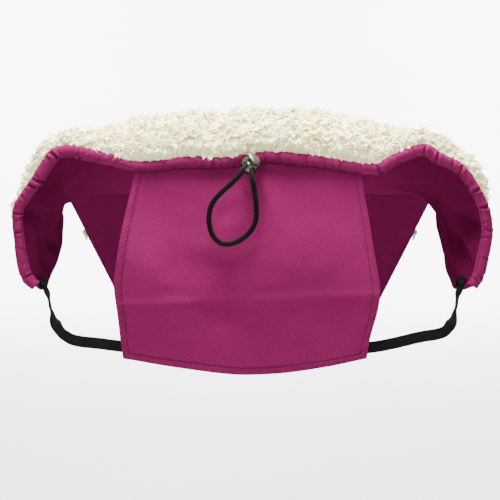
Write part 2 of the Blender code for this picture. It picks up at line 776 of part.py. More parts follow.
def foot_outline():
    """The closed end between the back and the cover, as x and height above the slope."""
    floor = back_top() + LAYER_GAP
    arch = at_shares(cover_arch(BODY_END), COVER_SHARES)
    keep = 1 - FOOT_INSET_SHARE
    inside = [(x * keep, floor + (rise - floor) * keep) for x, rise in arch if rise > floor + WADDING / 4]
    return [(inside[0][0], floor)] + inside + [(inside[-1][0], floor)]


def build_foot(shades):
    """The end wall between back and cover: shell outside, wadding, and sherpa inside."""
    place = BODY_END
    for name, thickness, shade in (("foot_shell", SHELL, "canvas"), ("foot_padding", WADDING, "wadding"),
                                   ("foot_lining", PILE, "sherpa")):
        outline = foot_outline()
        far = np.array([on_slope(x, place, rise) for x, rise in outline])
        near = np.array([on_slope(x, place - thickness, rise) for x, rise in outline])
        sweep_solid(name, [near, far], shades[shade])
        place -= thickness + LAYER_GAP


# Side zips

def zip_ends(side):
    """Both ends of the zip's line, on the underside of the back."""
    places = (COVER_START + ZIP_START_MARGIN, BODY_END - ZIP_END_MARGIN)
    return [np.array((side * half_width(y), y, body_height(y))) for y in places]


def zip_length(side):
    start, end = zip_ends(side)
    return float(np.linalg.norm(end - start))


def zip_frame(side):
    """Start of the zip's middle line, and the directions outwards, along and up."""
    start, end = zip_ends(side)
    along = (end - start) / zip_length(side)
    up = slope_normal()
    return start + up * (back_top(EDGE_SHARE) + GAP / 2), np.cross(up, along) * -side, along, up


def zip_points(side, section, places):
    """Rings of a section, given outwards and up, at places along the zip."""
    start, outward, along, up = zip_frame(side)
    shape = np.array([outward * a + up * b for a, b in section])
    return [start + along * place + shape for place in places]


def tape_section(sign):
    """Half of the zip: a sewn flange, a jog outwards and the bead that stands for its teeth."""
    face = GAP
    stand = face + ZIP_STANDOFF
    cloth = ZIP_CLOTH
    bead_low = ZIP_PARTING / 2
    bead_high = bead_low + ZIP_BEAD_WIDTH
    extra = (ZIP_BEAD_THICKNESS - cloth) / 2
    jog_end = ZIP_JOG + ZIP_STANDOFF / 2
    points = [
        (face, ZIP_FLANGE), (face + cloth, ZIP_FLANGE), (face + cloth, jog_end + cloth),
        (stand + cloth, ZIP_JOG + cloth), (stand + cloth, bead_high), (stand + cloth + extra, bead_high),
        (stand + cloth + extra, bead_low), (stand - extra, bead_low), (stand - extra, bead_high),
        (stand, bead_high), (stand, ZIP_JOG), (face, jog_end),
    ]
    return [(a, sign * b) for a, b in points]


def build_zip(side, name, shades):
    length = zip_length(side)
    for half, sign in (("back", -1), ("cover", 1)):
        rings = zip_points(side, tape_section(sign), (0.0, length))
        sweep_solid(f"zip_{half}_{name}", rings, shades["zip"])
    stand = GAP + ZIP_STANDOFF
    high = stand + ZIP_CLOTH + (ZIP_BEAD_THICKNESS - ZIP_CLOTH) / 2
    reach = ZIP_PARTING / 2 + ZIP_BEAD_WIDTH
    stop = [(stand - ZIP_CLOTH, -reach), (high, -reach), (high, reach), (stand - ZIP_CLOTH, reach)]
    rings = zip_points(side, stop, (length + GAP, length + GAP + STOP_LENGTH))
    sweep_solid(f"zip_stop_{name}", rings, shades["zip"])


def slider_section():
    """The slider's section: two plates with lips round the beads, and a thin wedge between them."""
    stand = GAP + ZIP_STANDOFF
    extra = (ZIP_BEAD_THICKNESS - ZIP_CLOTH) / 2
    bead_in, bead_out = stand - extra, stand + ZIP_CLOTH + extra
    lip_start = ZIP_PARTING / 2 + ZIP_BEAD_WIDTH + GAP
    lip_end = lip_start + SLIDER_LIP
    low_out = bead_in - GAP
    low_in = low_out - SLIDER_WALL
    high_in = bead_out + GAP
    high_out = high_in + SLIDER_WALL
    lip_low = stand - GAP
    lip_high = stand + ZIP_CLOTH + GAP
    wedge = ZIP_PARTING / 2 - GAP
    half = [
        (low_in, 0.0), (low_in, lip_end), (lip_low, lip_end), (lip_low, lip_start), (low_out, lip_start),
        (low_out, wedge), (high_in, wedge), (high_in, lip_start), (lip_high, lip_start),
        (lip_high, lip_end), (high_out, lip_end), (high_out, 0.0),
    ]
    mirrored = [(a, -b) for a, b in reversed(half[1:-1])]
    return half + mirrored, high_out


def build_slider(side, name, shades):
    """The slider on both beads, with two ears and a pin for its pull."""
    section, top = slider_section()
    start, outward, along, up = zip_frame(side)
    ends = (SLIDER_REST - SLIDER_LENGTH / 2, SLIDER_REST + SLIDER_LENGTH / 2)
    rings = zip_points(side, section, ends)
    body = sweep_solid(f"zip_slider_{name}", rings, shades["metal"], sharp_degrees=20)
    pin = top + PIN_HEIGHT
    ear_low = EYE_HALF_LENGTH + GAP
    foot, tip = PIN_RADIUS * EAR_FOOT_SHARE, PIN_RADIUS * EAR_TIP_SHARE
    sunk = top - SLIDER_WALL / 2
    outline = np.array(((-foot, sunk), (foot, sunk), (tip, pin + tip), (-tip, pin + tip)))
    side_view = start + along * SLIDER_REST + outline @ np.array((along, outward))
    ears = []
    for sign in (-1, 1):
        rings = [side_view + up * (sign * level) for level in (ear_low, ear_low + SLIDER_EAR)]
        ears.append(sweep_solid(f"ear_{name}_{sign}", rings, shades["metal"]))
    spot = start + along * SLIDER_REST + outward * pin
    reach = up * (ear_low + SLIDER_EAR / 2)
    ears.append(cylinder(f"pin_{name}", spot - reach, spot + reach, PIN_RADIUS, shades["metal"], PIN_SIDES))
    for ear in ears:
        hide_cutter(ear)
        boolean(body, ear, "UNION")


def pull_bar(name, spot, directions, places, shade):
    """A flat bar along the pull; places are (distance, lower face, upper face, half width)."""
    along, outward, up = directions
    rings = []
    for distance, low, high, width in places:
        corners = ((low, -width), (high, -width), (high, width), (low, width))
        rings.append(np.array([spot + along * distance + outward * a + up * b for a, b in corners]))
    return sweep_solid(name, rings, shade)


def build_pull(side, name, shades):
    """The slider's pull: an eye round the pin and a flat ribbed tab that lies towards the feet."""
    top = slider_section()[1]
    start, outward, along, up = zip_frame(side)
    spot = start + along * SLIDER_REST + outward * (top + PIN_HEIGHT)
    bore = PIN_RADIUS + GAP
    turns = math.tau * np.arange(EYE_SIDES) / EYE_SIDES
    circle = np.outer(np.cos(turns), along) + np.outer(np.sin(turns), outward)
    ends = [spot + up * level for level in (-EYE_HALF_LENGTH, EYE_HALF_LENGTH)]
    eye = join_rings_solid(f"zip_pull_{name}", [end + circle * EYE_RADIUS for end in ends],
                           [end + circle * bore for end in ends], shades["metal"], 35)
    thick = PULL_THICKNESS / 2
    places = [((bore + EYE_RADIUS) / 2, -thick, thick, EYE_HALF_LENGTH),
              (EYE_RADIUS * PULL_NECK_SHARE, -thick, thick, EYE_HALF_LENGTH)]
    places += [(PULL_LENGTH * far, -thick, thick, PULL_HALF_WIDTH * wide) for far, wide in PULL_SHARES]
    directions = (along, outward, up)
    parts = [pull_bar(f"tab_{name}", spot, directions, places, shades["metal"])]
    width = PULL_HALF_WIDTH * GRIP_WIDTH_SHARE
    for k in range(GRIP_RIBS):
        near = PULL_LENGTH * (GRIP_START_SHARE + GRIP_PITCH_SHARE * k)
        far = near + PULL_LENGTH * GRIP_LENGTH_SHARE
        places = [(distance, 0.0, thick + GRIP_RIB, width) for distance in (near, far)]
        parts.append(pull_bar(f"rib_{name}_{k}", spot, directions, places, shades["metal"]))
    for part in parts:
        hide_cutter(part)
        boolean(eye, part, "UNION")


# Back flap

def flap_swing_height():
    """Height of the flap's swing axis, which runs through the tunnel where the cord leaves it."""
    return RIM_DROP * FLAP_SWING_HEIGHT_SHARE


def flap_point(column, row):
    """A point on the flap's middle face; column runs left to right and row from the tunnel down."""
    left, right = table(FLAP_LEFT_SHARES, row), table(FLAP_RIGHT_SHARES, row)
    x = (left + (right - left) * column) * FLAP_HEIGHT
    lowest = min(rim_point(x + shift)[2] for shift in (-FLAP_TOP_REACH, 0.0, FLAP_TOP_REACH))
    top = lowest - TUNNEL_HALF_HEIGHT - GAP * 2
    bottom = -FLAP_HEIGHT * table(FLAP_BOTTOM_SHARES, column)
    z = top + (bottom - top) * row
    fold = FLAP_FOLD * row * math.sin(math.pi * (FLAP_FOLDS_ACROSS * column + FLAP_FOLDS_DOWN * row))
    return np.array((x, -FLAP_LEAN * table(FLAP_LEAN_SHARES, row) - fold, z))


def build_flap(shades):
    rows = np.linspace(0, 1, FLAP_ROWS + 1)
    columns = np.linspace(0, 1, FLAP_COLUMNS + 1)
    front = np.array([[flap_point(c, r) for c in columns] for r in rows])
    depth = np.array((0.0, FLAP_CLOTH, 0.0))
    grid_solid("flap_panel", front, front + depth, shades["canvas"], 60)
    build_hem(shades)


def build_hem(shades):
    """The turned hem behind the flap's two sides and its bottom edge."""
    behind = np.array((0.0, FLAP_CLOTH + GAP, 0.0))
    cloth = np.array((0.0, HEM_CLOTH, 0.0))
    rows = np.linspace(0, 1, FLAP_ROWS + 1)
    columns = np.linspace(0, 1, FLAP_COLUMNS + 1)
    outer = [flap_point(0.0, r) for r in rows] + [flap_point(c, 1.0) for c in columns[1:-1]]
    outer += [flap_point(1.0, r) for r in rows[::-1]]
    width = abs(FLAP_LEFT_SHARES[0][1] - FLAP_RIGHT_SHARES[0][1]) * FLAP_HEIGHT
    inset_c, inset_r = HEM_WIDTH / width, HEM_WIDTH / FLAP_HEIGHT
    inner = [flap_point(inset_c, min(r, 1 - inset_r)) for r in rows]
    inner += [flap_point(c, 1 - inset_r) for c in columns[1:-1]]
    inner += [flap_point(1 - inset_c, min(r, 1 - inset_r)) for r in rows[::-1]]
    low = np.array([outer, inner]) + behind
    grid_solid("flap_hem", low, low + cloth, shades["canvas"], 60)


# Cord lock and the cord's loop

LOOP_POINTS = (
    (-0.0145, 0.0, 0.0094), (-0.0110, -0.0002, 0.0102), (-0.0070, -0.0012, 0.0113),
    (-0.0032, -0.0034, 0.0121), (-0.0011, -0.0067, 0.0122), (-0.0019, -0.0103, 0.0108),
    (-0.0032, -0.0168, 0.0083), (-0.0045, -0.0232, 0.0059), (-0.0054, -0.0273, 0.0043),
    (-0.0073, -0.0315, 0.0010), (-0.0113, -0.0333, -0.0050), (-0.0180, -0.0325, -0.0118),
    (-0.0262, -0.0300, -0.0192), (-0.0345, -0.0273, -0.0280), (-0.0395, -0.0252, -0.0385),
    (-0.0402, -0.0240, -0.0520), (-0.0364, -0.0238, -0.0640), (-0.0285, -0.0240, -0.0712),
    (-0.0195, -0.0246, -0.0720), (-0.0095, -0.0254, -0.0680), (-0.0010, -0.0262, -0.0610),
    (0.0052, -0.0272, -0.0500), (0.0062, -0.0286, -0.0370), (0.0050, -0.0304, -0.0240),
    (0.0033, -0.0316, -0.0135), (0.0018, -0.0306, -0.0058), (0.0017, -0.0270, -0.0004),
    (0.0025, -0.0229, 0.0012), (0.0039, -0.0164, 0.0036), (0.0052, -0.0100, 0.0060),
    (0.0060, -0.0063, 0.0075), (0.0073, -0.0030, 0.0098), (0.0098, -0.0007, 0.0122),
    (0.0130, 0.0, 0.0133),
)


def lock_axes():
    """The lock's directions: along the cord, from hole to hole, and along the plunger."""
    cord = LOCK_CORD_DIRECTION
    across = (LOCK_ACROSS_DIRECTION - cord * LOCK_ACROSS_DIRECTION.dot(cord)).normalized()
    return cord, across, cord.cross(across).normalized()


def lock_rim_height():
    mouth = PLUNGER_RADIUS + PLUNGER_CLEARANCE + LOCK_WALL
    return math.sqrt(LOCK_RADIUS**2 - mouth**2)


def housing_profile():
    """The ball's outline from its flat base to its mouth, then down the well and the spring pocket."""
    start = math.asin(LOCK_FLOOR / LOCK_RADIUS)
    end = math.asin(lock_rim_height() / LOCK_RADIUS)
    turns = np.linspace(start, end, 8)
    outside = [(LOCK_RADIUS * math.cos(t), LOCK_RADIUS * math.sin(t)) for t in turns]
    well = PLUNGER_RADIUS + PLUNGER_CLEARANCE
    inside = [(well, outside[-1][1]), (well, LOCK_SHELF), (SPRING_POCKET_RADIUS, LOCK_SHELF),
              (SPRING_POCKET_RADIUS, LOCK_FLOOR + FLOOR_WALL), (0.0, LOCK_FLOOR + FLOOR_WALL)]
    return [(0.0, LOCK_FLOOR)] + outside + inside


def plunger_underside():
    return LOCK_HOLE_RISE - CORD_DIAMETER / 2 - HOLE_CLEARANCE - PLUNGER_SOLE


def oblong(half_across, half_along, sides=8):
    """An outline with two round ends, longer along the plunger than across it."""
    points = []
    for sign in (1, -1):
        for k in range(sides + 1):
            turn = math.pi * k / sides
            points.append((sign * half_across * math.cos(turn),
                           sign * (half_across * math.sin(turn) + half_along - half_across)))
    return points


def button_rings(centre, across, cord, plunger):
    """The plunger with its ribbed head, as rings from the underside to the dome."""
    head = lock_rim_height() + PLUNGER_TRAVEL + PLUNGER_CLEARANCE
    top = head + BUTTON_HEIGHT
    low = plunger_underside()
    levels = ((low, PLUNGER_RADIUS, 0.0), (head, PLUNGER_RADIUS, 0.0), (head, BUTTON_RADIUS, BUTTON_RIB),
              (top, BUTTON_RADIUS, BUTTON_RIB), (top + BUTTON_DOME, BUTTON_RADIUS - BUTTON_HEIGHT, 0.0))
    rings = []
    for height, radius, rib in levels:
        ring = []
        for k in range(BUTTON_RIBS * 2):
            turn = math.tau * k / (BUTTON_RIBS * 2)
            reach = radius - rib * (k % 2)
            spoke = across * (reach * math.cos(turn)) + cord * (reach * math.sin(turn))
            ring.append(centre + plunger * height + spoke)
        rings.append(np.array(ring))
    return rings


def build_lock(shades):
    cord, across, plunger = lock_axes()
    centre = LOCK_CENTRE
    hole_radius = CORD_DIAMETER / 2 + HOLE_CLEARANCE
    housing = revolve("cord_lock_housing", housing_profile(), centre, plunger, shades["nickel"], 24)
    button = sweep_solid("cord_lock_button", button_rings(centre, across, cord, plunger), shades["nickel"])
    run = cord * (LOCK_RADIUS + OVERRUN)
    rise = PLUNGER_TRAVEL / 2
    outline = oblong(hole_radius, hole_radius + rise)
    for sign in (-1, 1):
        middle = centre + across * (sign * LOCK_HOLE_SPACING / 2) + plunger * LOCK_HOLE_RISE
        hole = cylinder(f"lock_hole_{sign}", middle - run, middle + run, hole_radius, shades["nickel"], 16)
        rings = [np.array([middle + end + across * a + plunger * (b + rise) for a, b in outline])
                 for end in (-run, run)]
        slot = sweep_solid(f"plunger_hole_{sign}", rings, shades["nickel"])
        for piece, cutter in ((housing, hole), (button, slot)):
            hide_cutter(cutter)
            boolean(piece, cutter, "DIFFERENCE")
    build_spring(centre, across, cord, plunger, shades)


def build_spring(centre, across, cord, plunger, shades):
    """The spring between the pocket's floor and the plunger's underside."""
    low = LOCK_FLOOR + FLOOR_WALL + SPRING_WIRE / 2 + GAP
    high = plunger_underside() - SPRING_WIRE / 2 - GAP
    count = SPRING_TURNS * SPRING_POINTS_PER_TURN
    points = []
    for k in range(count + 1):
        share = k / count
        turn = math.tau * SPRING_TURNS * share
        spot = centre + across * (SPRING_RADIUS * math.cos(turn)) + cord * (SPRING_RADIUS * math.sin(turn))
        points.append(spot + plunger * (low + (high - low) * share))
    least = (high - low) / SPRING_TURNS - SPRING_WIRE
    print(f"cord lock spring: least gap between turns {least * 1000:.2f} mm")
    cord_object("cord_lock_spring", points, SPRING_WIRE, shades["steel"], 1)


def build_loop(shades):
    tails = rim_point(EXIT_LEFT - LOOP_TAIL), rim_point(EXIT_RIGHT + LOOP_TAIL)
    line = smooth_curve([tails[0], *LOOP_POINTS, tails[1]])
    points = even_points(line, LOOP_STEP)
    print(f"drawcord loop: {lengths_along(line)[-1] * 1000:.1f} mm long")
    cord_object("drawcord_loop", points, CORD_DIAMETER, shades["cord"])


# Elastic strap

def sewn_end(side):
    """Where the strap lies on a wing's inner face: points from the top down, and the way across it."""
    grid = hood_grid()
    inward = -grid_normals(grid)
    if side > 0:
        grid, inward = grid[:, ::-1], inward[:, ::-1]
    lie = grid + inward * (STRAP_THICKNESS / 2 + LAYER_GAP)
    near, far = 1, 2
    middle = (lie[near] + lie[far]) / 2
    counts = np.arange(len(middle))
    points = []
    for column, lift in SEWN_SHARES:
        spot = [np.interp(column, counts, middle[:, k]) for k in range(3)]
        points.append(spot + inward[near, 1] * STRAP_THICKNESS * lift)
    across = lie[far, 1] - lie[near, 1]
    return points, across / np.linalg.norm(across)


def strap_line():
    """The strap's centre line: across the rim's width, and down from the wings' tips behind the flap."""
    points = [(x * RIM_HALF_WIDTH, y * FLAP_LEAN, -RIM_DROP - z * STRAP_SAG) for x, y, z in STRAP_SHARES]
    return even_points(smooth_curve(sewn_end(-1)[0] + points + sewn_end(1)[0][::-1]), STRAP_STEP)


def strap_frames(line):
    """Width direction and face direction of the band along its line; it lies edge-on by the wings."""
    tangent = np.gradient(line, axis=0)
    tangent /= np.linalg.norm(tangent, axis=1, keepdims=True)
    along = lengths_along(line)
    frames = []
    for t, share in zip(tangent, along / along[-1]):
        near = min(share, 1 - share)
        turn = smooth_step((near - STRAP_FLAT_SHARE) / (STRAP_TURN_SHARE - STRAP_FLAT_SHARE)) * math.pi / 2
        free = smooth_step((near - SEWN_SHARE) / (STRAP_FLAT_SHARE - SEWN_SHARE))
        wide = np.array((0.0, math.cos(turn), math.sin(turn)))
        wide = wide * free + sewn_end(-1 if share < 0.5 else 1)[1] * (1 - free)
        wide -= t * (wide @ t)
        wide /= np.linalg.norm(wide)
        frames.append((wide, np.cross(t, wide)))
    return frames


def build_strap(shades):
    line = strap_line()
    frames = strap_frames(line)
    rings = []
    for p, (wide, face) in zip(line, frames):
        a, b = wide * STRAP_WIDTH / 2, face * STRAP_THICKNESS / 2
        rings.append(np.array([p - a - b, p + a - b, p + a + b, p - a + b]))
    sweep_solid("elastic_strap", rings, shades["elastic"])
    low = STRAP_THICKNESS / 2 + GAP
    for name, stations in (("left", (0, 1)), ("right", (-1, -2))):
        rings = []
        for station in stations:
            p, (wide, face) = line[station], frames[station]
            inward = face if face[0] * p[0] < 0 else -face
            half = wide * STRAP_WIDTH / 2
            near, far = p + inward * low, p + inward * (low + STITCH_PLATE)
            rings.append(np.array([near - half, near + half, far + half, far - half]))
        sweep_solid(f"strap_stitch_{name}", rings, shades["elastic"])


def build_tab(shades):
    """A short black tape end, sewn inside the right wing's lower edge and showing under it."""
    grid = hood_grid()
    normal = grid_normals(grid)
    rings = []
    for row in (2, 3):
        edge, above = grid[row, -1], grid[row, -2]
        down = (edge - above) / np.linalg.norm(edge - above)
        top = edge - down * TAB_HEIGHT - normal[row, -1] * GAP * 2
        low = edge + down * TAB_HEIGHT - normal[row, -1] * GAP * 2
        thick = -normal[row, -1] * TAB_THICKNESS
        rings.append(np.array([top, low, low + thick, top + thick]))
    share = TAB_LENGTH / np.linalg.norm(rings[1][0] - rings[0][0])
    rings[1] = rings[0] + (rings[1] - rings[0]) * share
    sweep_solid("tape_end_right", rings, shades["elastic"])


def build():
    clear_scene()
    shades = {
        "canvas": material("canvas", (0.37, 0.026, 0.155), 0.75),
        "wadding": material("wadding", (0.80, 0.80, 0.80), 0.95),
        "sherpa": material("sherpa", (0.86, 0.80, 0.64), 0.95),
        "binding": material("binding", (0.30, 0.020, 0.125), 0.70),
        "zip": material("zip", (0.020, 0.020, 0.022), 0.55),
        "metal": material("metal", (0.030, 0.030, 0.032), 0.35, 0.9),
        "nickel": material("nickel", (0.30, 0.29, 0.27), 0.32, 1.0),
        "steel": material("steel", (0.55, 0.55, 0.56), 0.30, 1.0),
        "cord": material("cord", (0.012, 0.012, 0.013), 0.70),
        "elastic": material("elastic", (0.014, 0.014, 0.015), 0.80),
    }
    build_hood(shades)
    build_tunnels(shades)
    build_held_cords(shades)
    build_back(shades)
    build_cover(shades)
    build_collar(shades)
    build_foot(shades)
    for side, name in ((-1, "left"), (1, "right")):
        build_zip(side, name, shades)
        build_slider(side, name, shades)
        build_pull(side, name, shades)
    build_flap(shades)
    build_lock(shades)
    build_loop(shades)
    build_strap(shades)
    build_tab(shades)


build()
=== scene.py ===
"""The dressed baby bunting bag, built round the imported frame. Metres; the frame's own axes."""

import math

import bpy
import numpy as np
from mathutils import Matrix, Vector


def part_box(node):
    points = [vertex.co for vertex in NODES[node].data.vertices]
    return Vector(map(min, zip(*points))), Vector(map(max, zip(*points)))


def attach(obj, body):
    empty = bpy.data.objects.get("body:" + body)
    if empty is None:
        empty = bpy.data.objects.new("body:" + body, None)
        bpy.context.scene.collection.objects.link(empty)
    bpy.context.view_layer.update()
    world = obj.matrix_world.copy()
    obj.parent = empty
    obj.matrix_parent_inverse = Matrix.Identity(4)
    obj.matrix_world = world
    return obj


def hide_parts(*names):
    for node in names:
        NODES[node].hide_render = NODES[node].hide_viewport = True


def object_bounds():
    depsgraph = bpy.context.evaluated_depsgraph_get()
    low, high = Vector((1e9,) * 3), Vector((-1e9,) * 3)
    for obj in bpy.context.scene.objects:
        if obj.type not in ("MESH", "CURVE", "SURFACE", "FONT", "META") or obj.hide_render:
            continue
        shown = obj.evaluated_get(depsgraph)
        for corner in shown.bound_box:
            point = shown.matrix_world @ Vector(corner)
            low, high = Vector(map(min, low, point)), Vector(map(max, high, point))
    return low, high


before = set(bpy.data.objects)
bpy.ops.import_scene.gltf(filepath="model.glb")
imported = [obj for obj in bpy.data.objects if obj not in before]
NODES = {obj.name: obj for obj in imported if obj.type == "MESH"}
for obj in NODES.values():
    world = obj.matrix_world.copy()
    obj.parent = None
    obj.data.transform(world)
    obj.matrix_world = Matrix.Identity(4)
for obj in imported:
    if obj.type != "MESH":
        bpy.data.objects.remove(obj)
cad_low, cad_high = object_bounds()
SIDES = (("left", -1), ("right", 1))
TOWARDS_FEET = np.array((0.0, 1.0, 0.0))


def add_object(name, data):
    thing = bpy.data.objects.new(name, data)
    bpy.context.scene.collection.objects.link(thing)
    return thing


# Camera, at the photograph's angle

CAMERA_ELEVATION = math.radians(5)
CAMERA_DISTANCE = 1.55
FRAME_WIDTH = 0.5
AIM = Vector((0.0, 0.0, -0.080))


def make_camera():
    data = bpy.data.cameras.new("camera")
    data.sensor_width = 36.0
    data.lens = data.sensor_width * CAMERA_DISTANCE / FRAME_WIDTH
    thing = add_object("camera", data)
    back = Vector((0.0, -math.cos(CAMERA_ELEVATION), math.sin(CAMERA_ELEVATION)))
    thing.location = AIM + back * CAMERA_DISTANCE
    thing.rotation_euler = (-back).to_track_quat("-Z", "Y").to_euler()
    bpy.context.scene.camera = thing


make_camera()

# Noise on numpy arrays


def shares_of(cells, seed, count=3):
    """Even random shares from 0 to 1 for whole-numbered cells."""
    c = np.asarray(cells, np.int64)
    n = (c[..., 0] * 73856093) ^ (c[..., 1] * 19349663) ^ (c[..., 2] * 83492791) ^ (seed * 265443576)
    out = []
    for k in range(count):
        m = (n + k * 1013904223) & 0xFFFFFFFF
        for _ in range(2):
            m = ((m ^ (m >> 16)) * 0x45D9F3B) & 0xFFFFFFFF
        out.append((m ^ (m >> 16)) / 0xFFFFFFFF)
    return np.stack(out, -1)


def value_noise(points, scale, seed=1):
    """Smooth noise from -1 to 1 with features one over scale wide."""
    p = np.asarray(points, float) * scale
    cell = np.floor(p).astype(np.int64)
    f = p - cell
    f = f * f * (3 - 2 * f)
    total = np.zeros(p.shape[:-1])
    for i in (0, 1):
        for j in (0, 1):
            for k in (0, 1):
                corner = shares_of(cell + np.array((i, j, k)), seed, 1)[..., 0]
                weight = (np.where(i, f[..., 0], 1 - f[..., 0]) * np.where(j, f[..., 1], 1 - f[..., 1])
                          * np.where(k, f[..., 2], 1 - f[..., 2]))
                total += corner * weight
    return total * 2 - 1


def noise_vectors(points, scale, seed):
    return np.stack([value_noise(points, scale, seed + k) for k in range(3)], axis=-1)


def near_centres(points, size, seed=1):
    """Scattered centres, one to a cell: the nearest one, its distance and the next one's distance in cells."""
    p = np.asarray(points, float) / size
    cell = np.floor(p).astype(np.int64)
    nearest = np.full(p.shape[:-1], 9.0)
    second = np.full(p.shape[:-1], 9.0)
    place = np.zeros(p.shape)
    for i in (-1, 0, 1):
        for j in (-1, 0, 1):
            for k in (-1, 0, 1):
                other = cell + np.array((i, j, k))
                centre = other + shares_of(other, seed)
                gap = np.linalg.norm(centre - p, axis=-1)
                second = np.minimum(second, np.maximum(gap, nearest))
                place = np.where((gap < nearest)[..., None], centre, place)
                nearest = np.minimum(nearest, gap)
    return place * size, nearest, second


def tufts(points, size, seed=1):
    """Round tufts: 1 at the middle of each and 0 where they meet."""
    _, nearest, second = near_centres(points, size, seed)
    return np.clip((second - nearest) / 0.55, 0, 1)


# Curves and grids


def smooth_step(value):
    t = np.clip(value, 0.0, 1.0)
    return t * t * (3 - 2 * t)


def rise(value, start, width):
    """0 up to the start, and 1 from a width past it."""
    return smooth_step((value - start) / width)


def fade(value, end, width):
    """1 until a width before the end, and 0 past it."""
    return smooth_step((end - value) / width)


def smooth_curve(points, samples=16):
    p = np.array(points, float)
    p = np.vstack([2 * p[0] - p[1], p, 2 * p[-1] - p[-2]])
    out = []
    for a, b, c, d in zip(p, p[1:], p[2:], p[3:]):
        for t in np.linspace(0, 1, samples, endpoint=False):
            out.append(0.5 * (2 * b + (c - a) * t + (2 * a - 5 * b + 4 * c - d) * t**2
                              + (3 * b - a - 3 * c + d) * t**3))
    out.append(p[-2])
    return np.array(out)


def lengths_along(line):
    return np.concatenate([[0.0], np.cumsum(np.linalg.norm(np.diff(line, axis=0), axis=1))])


def at_shares(line, shares):
    along = lengths_along(line)
    places = np.asarray(shares) * along[-1]
    return np.stack([np.interp(places, along, line[:, k]) for k in range(line.shape[1])], axis=1)


def softened(line, passes):
    """The line with its corners eased; its ends stay."""
    p = np.array(line, float)
    for _ in range(passes):
        p[1:-1] = (p[:-2] + 2 * p[1:-1] + p[2:]) / 4
    return p


def unit(v):
    return v / np.maximum(np.linalg.norm(v, axis=-1, keepdims=True), 1e-12)


def spots(a, b, c=0.0):
    """Points from their coordinates, which are spread over each other."""
    return np.stack(np.broadcast_arrays(a, b, c), axis=-1)


def ring_turns(sides):
    return math.tau * np.arange(sides) / sides


def grid_normals(grid):
    normal = unit(np.cross(np.gradient(grid, axis=1), np.gradient(grid, axis=0)))
    return normal if normal[-1, grid.shape[1] // 2, 2] > 0 else -normal


def uv_of(grid):
    """Distances in metres across and along a grid, for weaves and ribs."""
    rows, columns = grid.shape[:2]
    u = lengths_along(grid[rows // 2])
    v = lengths_along(grid[:, columns // 2])
    return np.stack(np.meshgrid(u, v), axis=-1)


def tube_rings(line, across, upright, wide, high):
    """Rings of a tube along a line, from its half widths and half heights at each place and turn."""
    turn = ring_turns(wide.shape[1])
    return (line[:, None, :] + (np.cos(turn) * wide)[:, :, None] * across[:, None, :]
            + (np.sin(turn) * high)[:, :, None] * upright[:, None, :])


def carried_frames(line):
    """Directions across a line that turn as little as they can along it."""
    tangent = unit(np.gradient(line, axis=0))
    across = np.zeros_like(line)
    side = np.cross(tangent[0], (0.0, 0.0, 1.0))
    if np.linalg.norm(side) < 0.1:
        side = np.cross(tangent[0], (0.0, 1.0, 0.0))
    for k, t in enumerate(tangent):
        side = side - t * (side @ t)
        side = side / np.linalg.norm(side)
        across[k] = side
    return tangent, across, np.cross(tangent, across)


# Pieces


def mesh_piece(name, points, faces, shade, body="bag", uv=None, tuft=None, replaces=(), fill=None, smooth=True):
    """A mesh that rides on a body; uv holds one pair in metres and tuft one share for each point."""
    material, slot = SHADES[shade]
    mesh = bpy.data.meshes.new(name)
    mesh.from_pydata(np.asarray(points, float).tolist(), [], faces)
    if uv is not None:
        layer = mesh.uv_layers.new(name="metres")
        index = np.zeros(len(mesh.loops), np.int32)
        mesh.loops.foreach_get("vertex_index", index)
        layer.data.foreach_set("uv", np.asarray(uv, np.float32)[index].ravel())
    mesh.materials.append(material)
    if smooth:
        mesh.shade_smooth()
    if tuft is not None:
        heights = np.asarray(tuft, np.float32).ravel()
        mesh.attributes.new("tuft", "FLOAT", "POINT").data.foreach_set("value", heights)
    mesh.validate()
    thing = add_object(name, mesh)
    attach(thing, body)
    if replaces:
        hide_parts(*replaces)
    return thing


def grid_faces(rows, columns, closed=False, looped=False):
    """A grid's quads; closed joins its last column to the first one, and looped its last row."""
    row = np.arange(rows if looped else rows - 1)[:, None]
    column = np.arange(columns if closed else columns - 1)[None, :]
    near, far, beside = row * columns, (row + 1) % rows * columns, (column + 1) % columns
    return np.stack([near + column, near + beside, far + beside, far + column], axis=-1).reshape(-1, 4)


def sheet_solid(name, low, high, shade, keep=None, tuft=None, **more):
    """A closed padded or woven sheet between two grids, without the cells that keep leaves out."""
    quads = grid_faces(*low.shape[:2])
    if keep is not None:
        quads = quads[keep.ravel()]
    used, index = np.unique(quads, return_inverse=True)
    quads, count = index.reshape(-1, 4), len(used)
    start, end = quads.ravel(), np.roll(quads, -1, axis=1).ravel()
    open_edge = ~np.isin(end * count + start, start * count + end)
    a, b = start[open_edge], end[open_edge]
    faces = np.concatenate([quads[:, ::-1], quads + count, np.stack([a, b, b + count, a + count], axis=1)])
    points = np.concatenate([low.reshape(-1, 3)[used], high.reshape(-1, 3)[used]])
    uv = np.tile(uv_of(high).reshape(-1, 2)[used], (2, 1))
    if tuft is not None:
        tuft = np.tile(tuft.ravel()[used], 2)
    return mesh_piece(name, points, faces.tolist(), shade, uv=uv, tuft=tuft, **more)


def tube_piece(name, rings, shade, looped=False, girth=None, uv=None, **more):
    """A tube through rings of points; a looped one has no ends."""
    rows, columns = rings.shape[:2]
    faces = grid_faces(rows, columns, closed=True, looped=looped).tolist()
    if not looped:
        faces += [tuple(range(columns))[::-1], tuple(range((rows - 1) * columns, rows * columns))]
    if uv is None:
        girth = np.arange(columns) / columns if girth is None else girth
        uv = np.stack(np.meshgrid(girth, lengths_along(rings.mean(axis=1))), axis=-1).reshape(-1, 2)
    return mesh_piece(name, rings.reshape(-1, 3), faces, shade, uv=uv, **more)


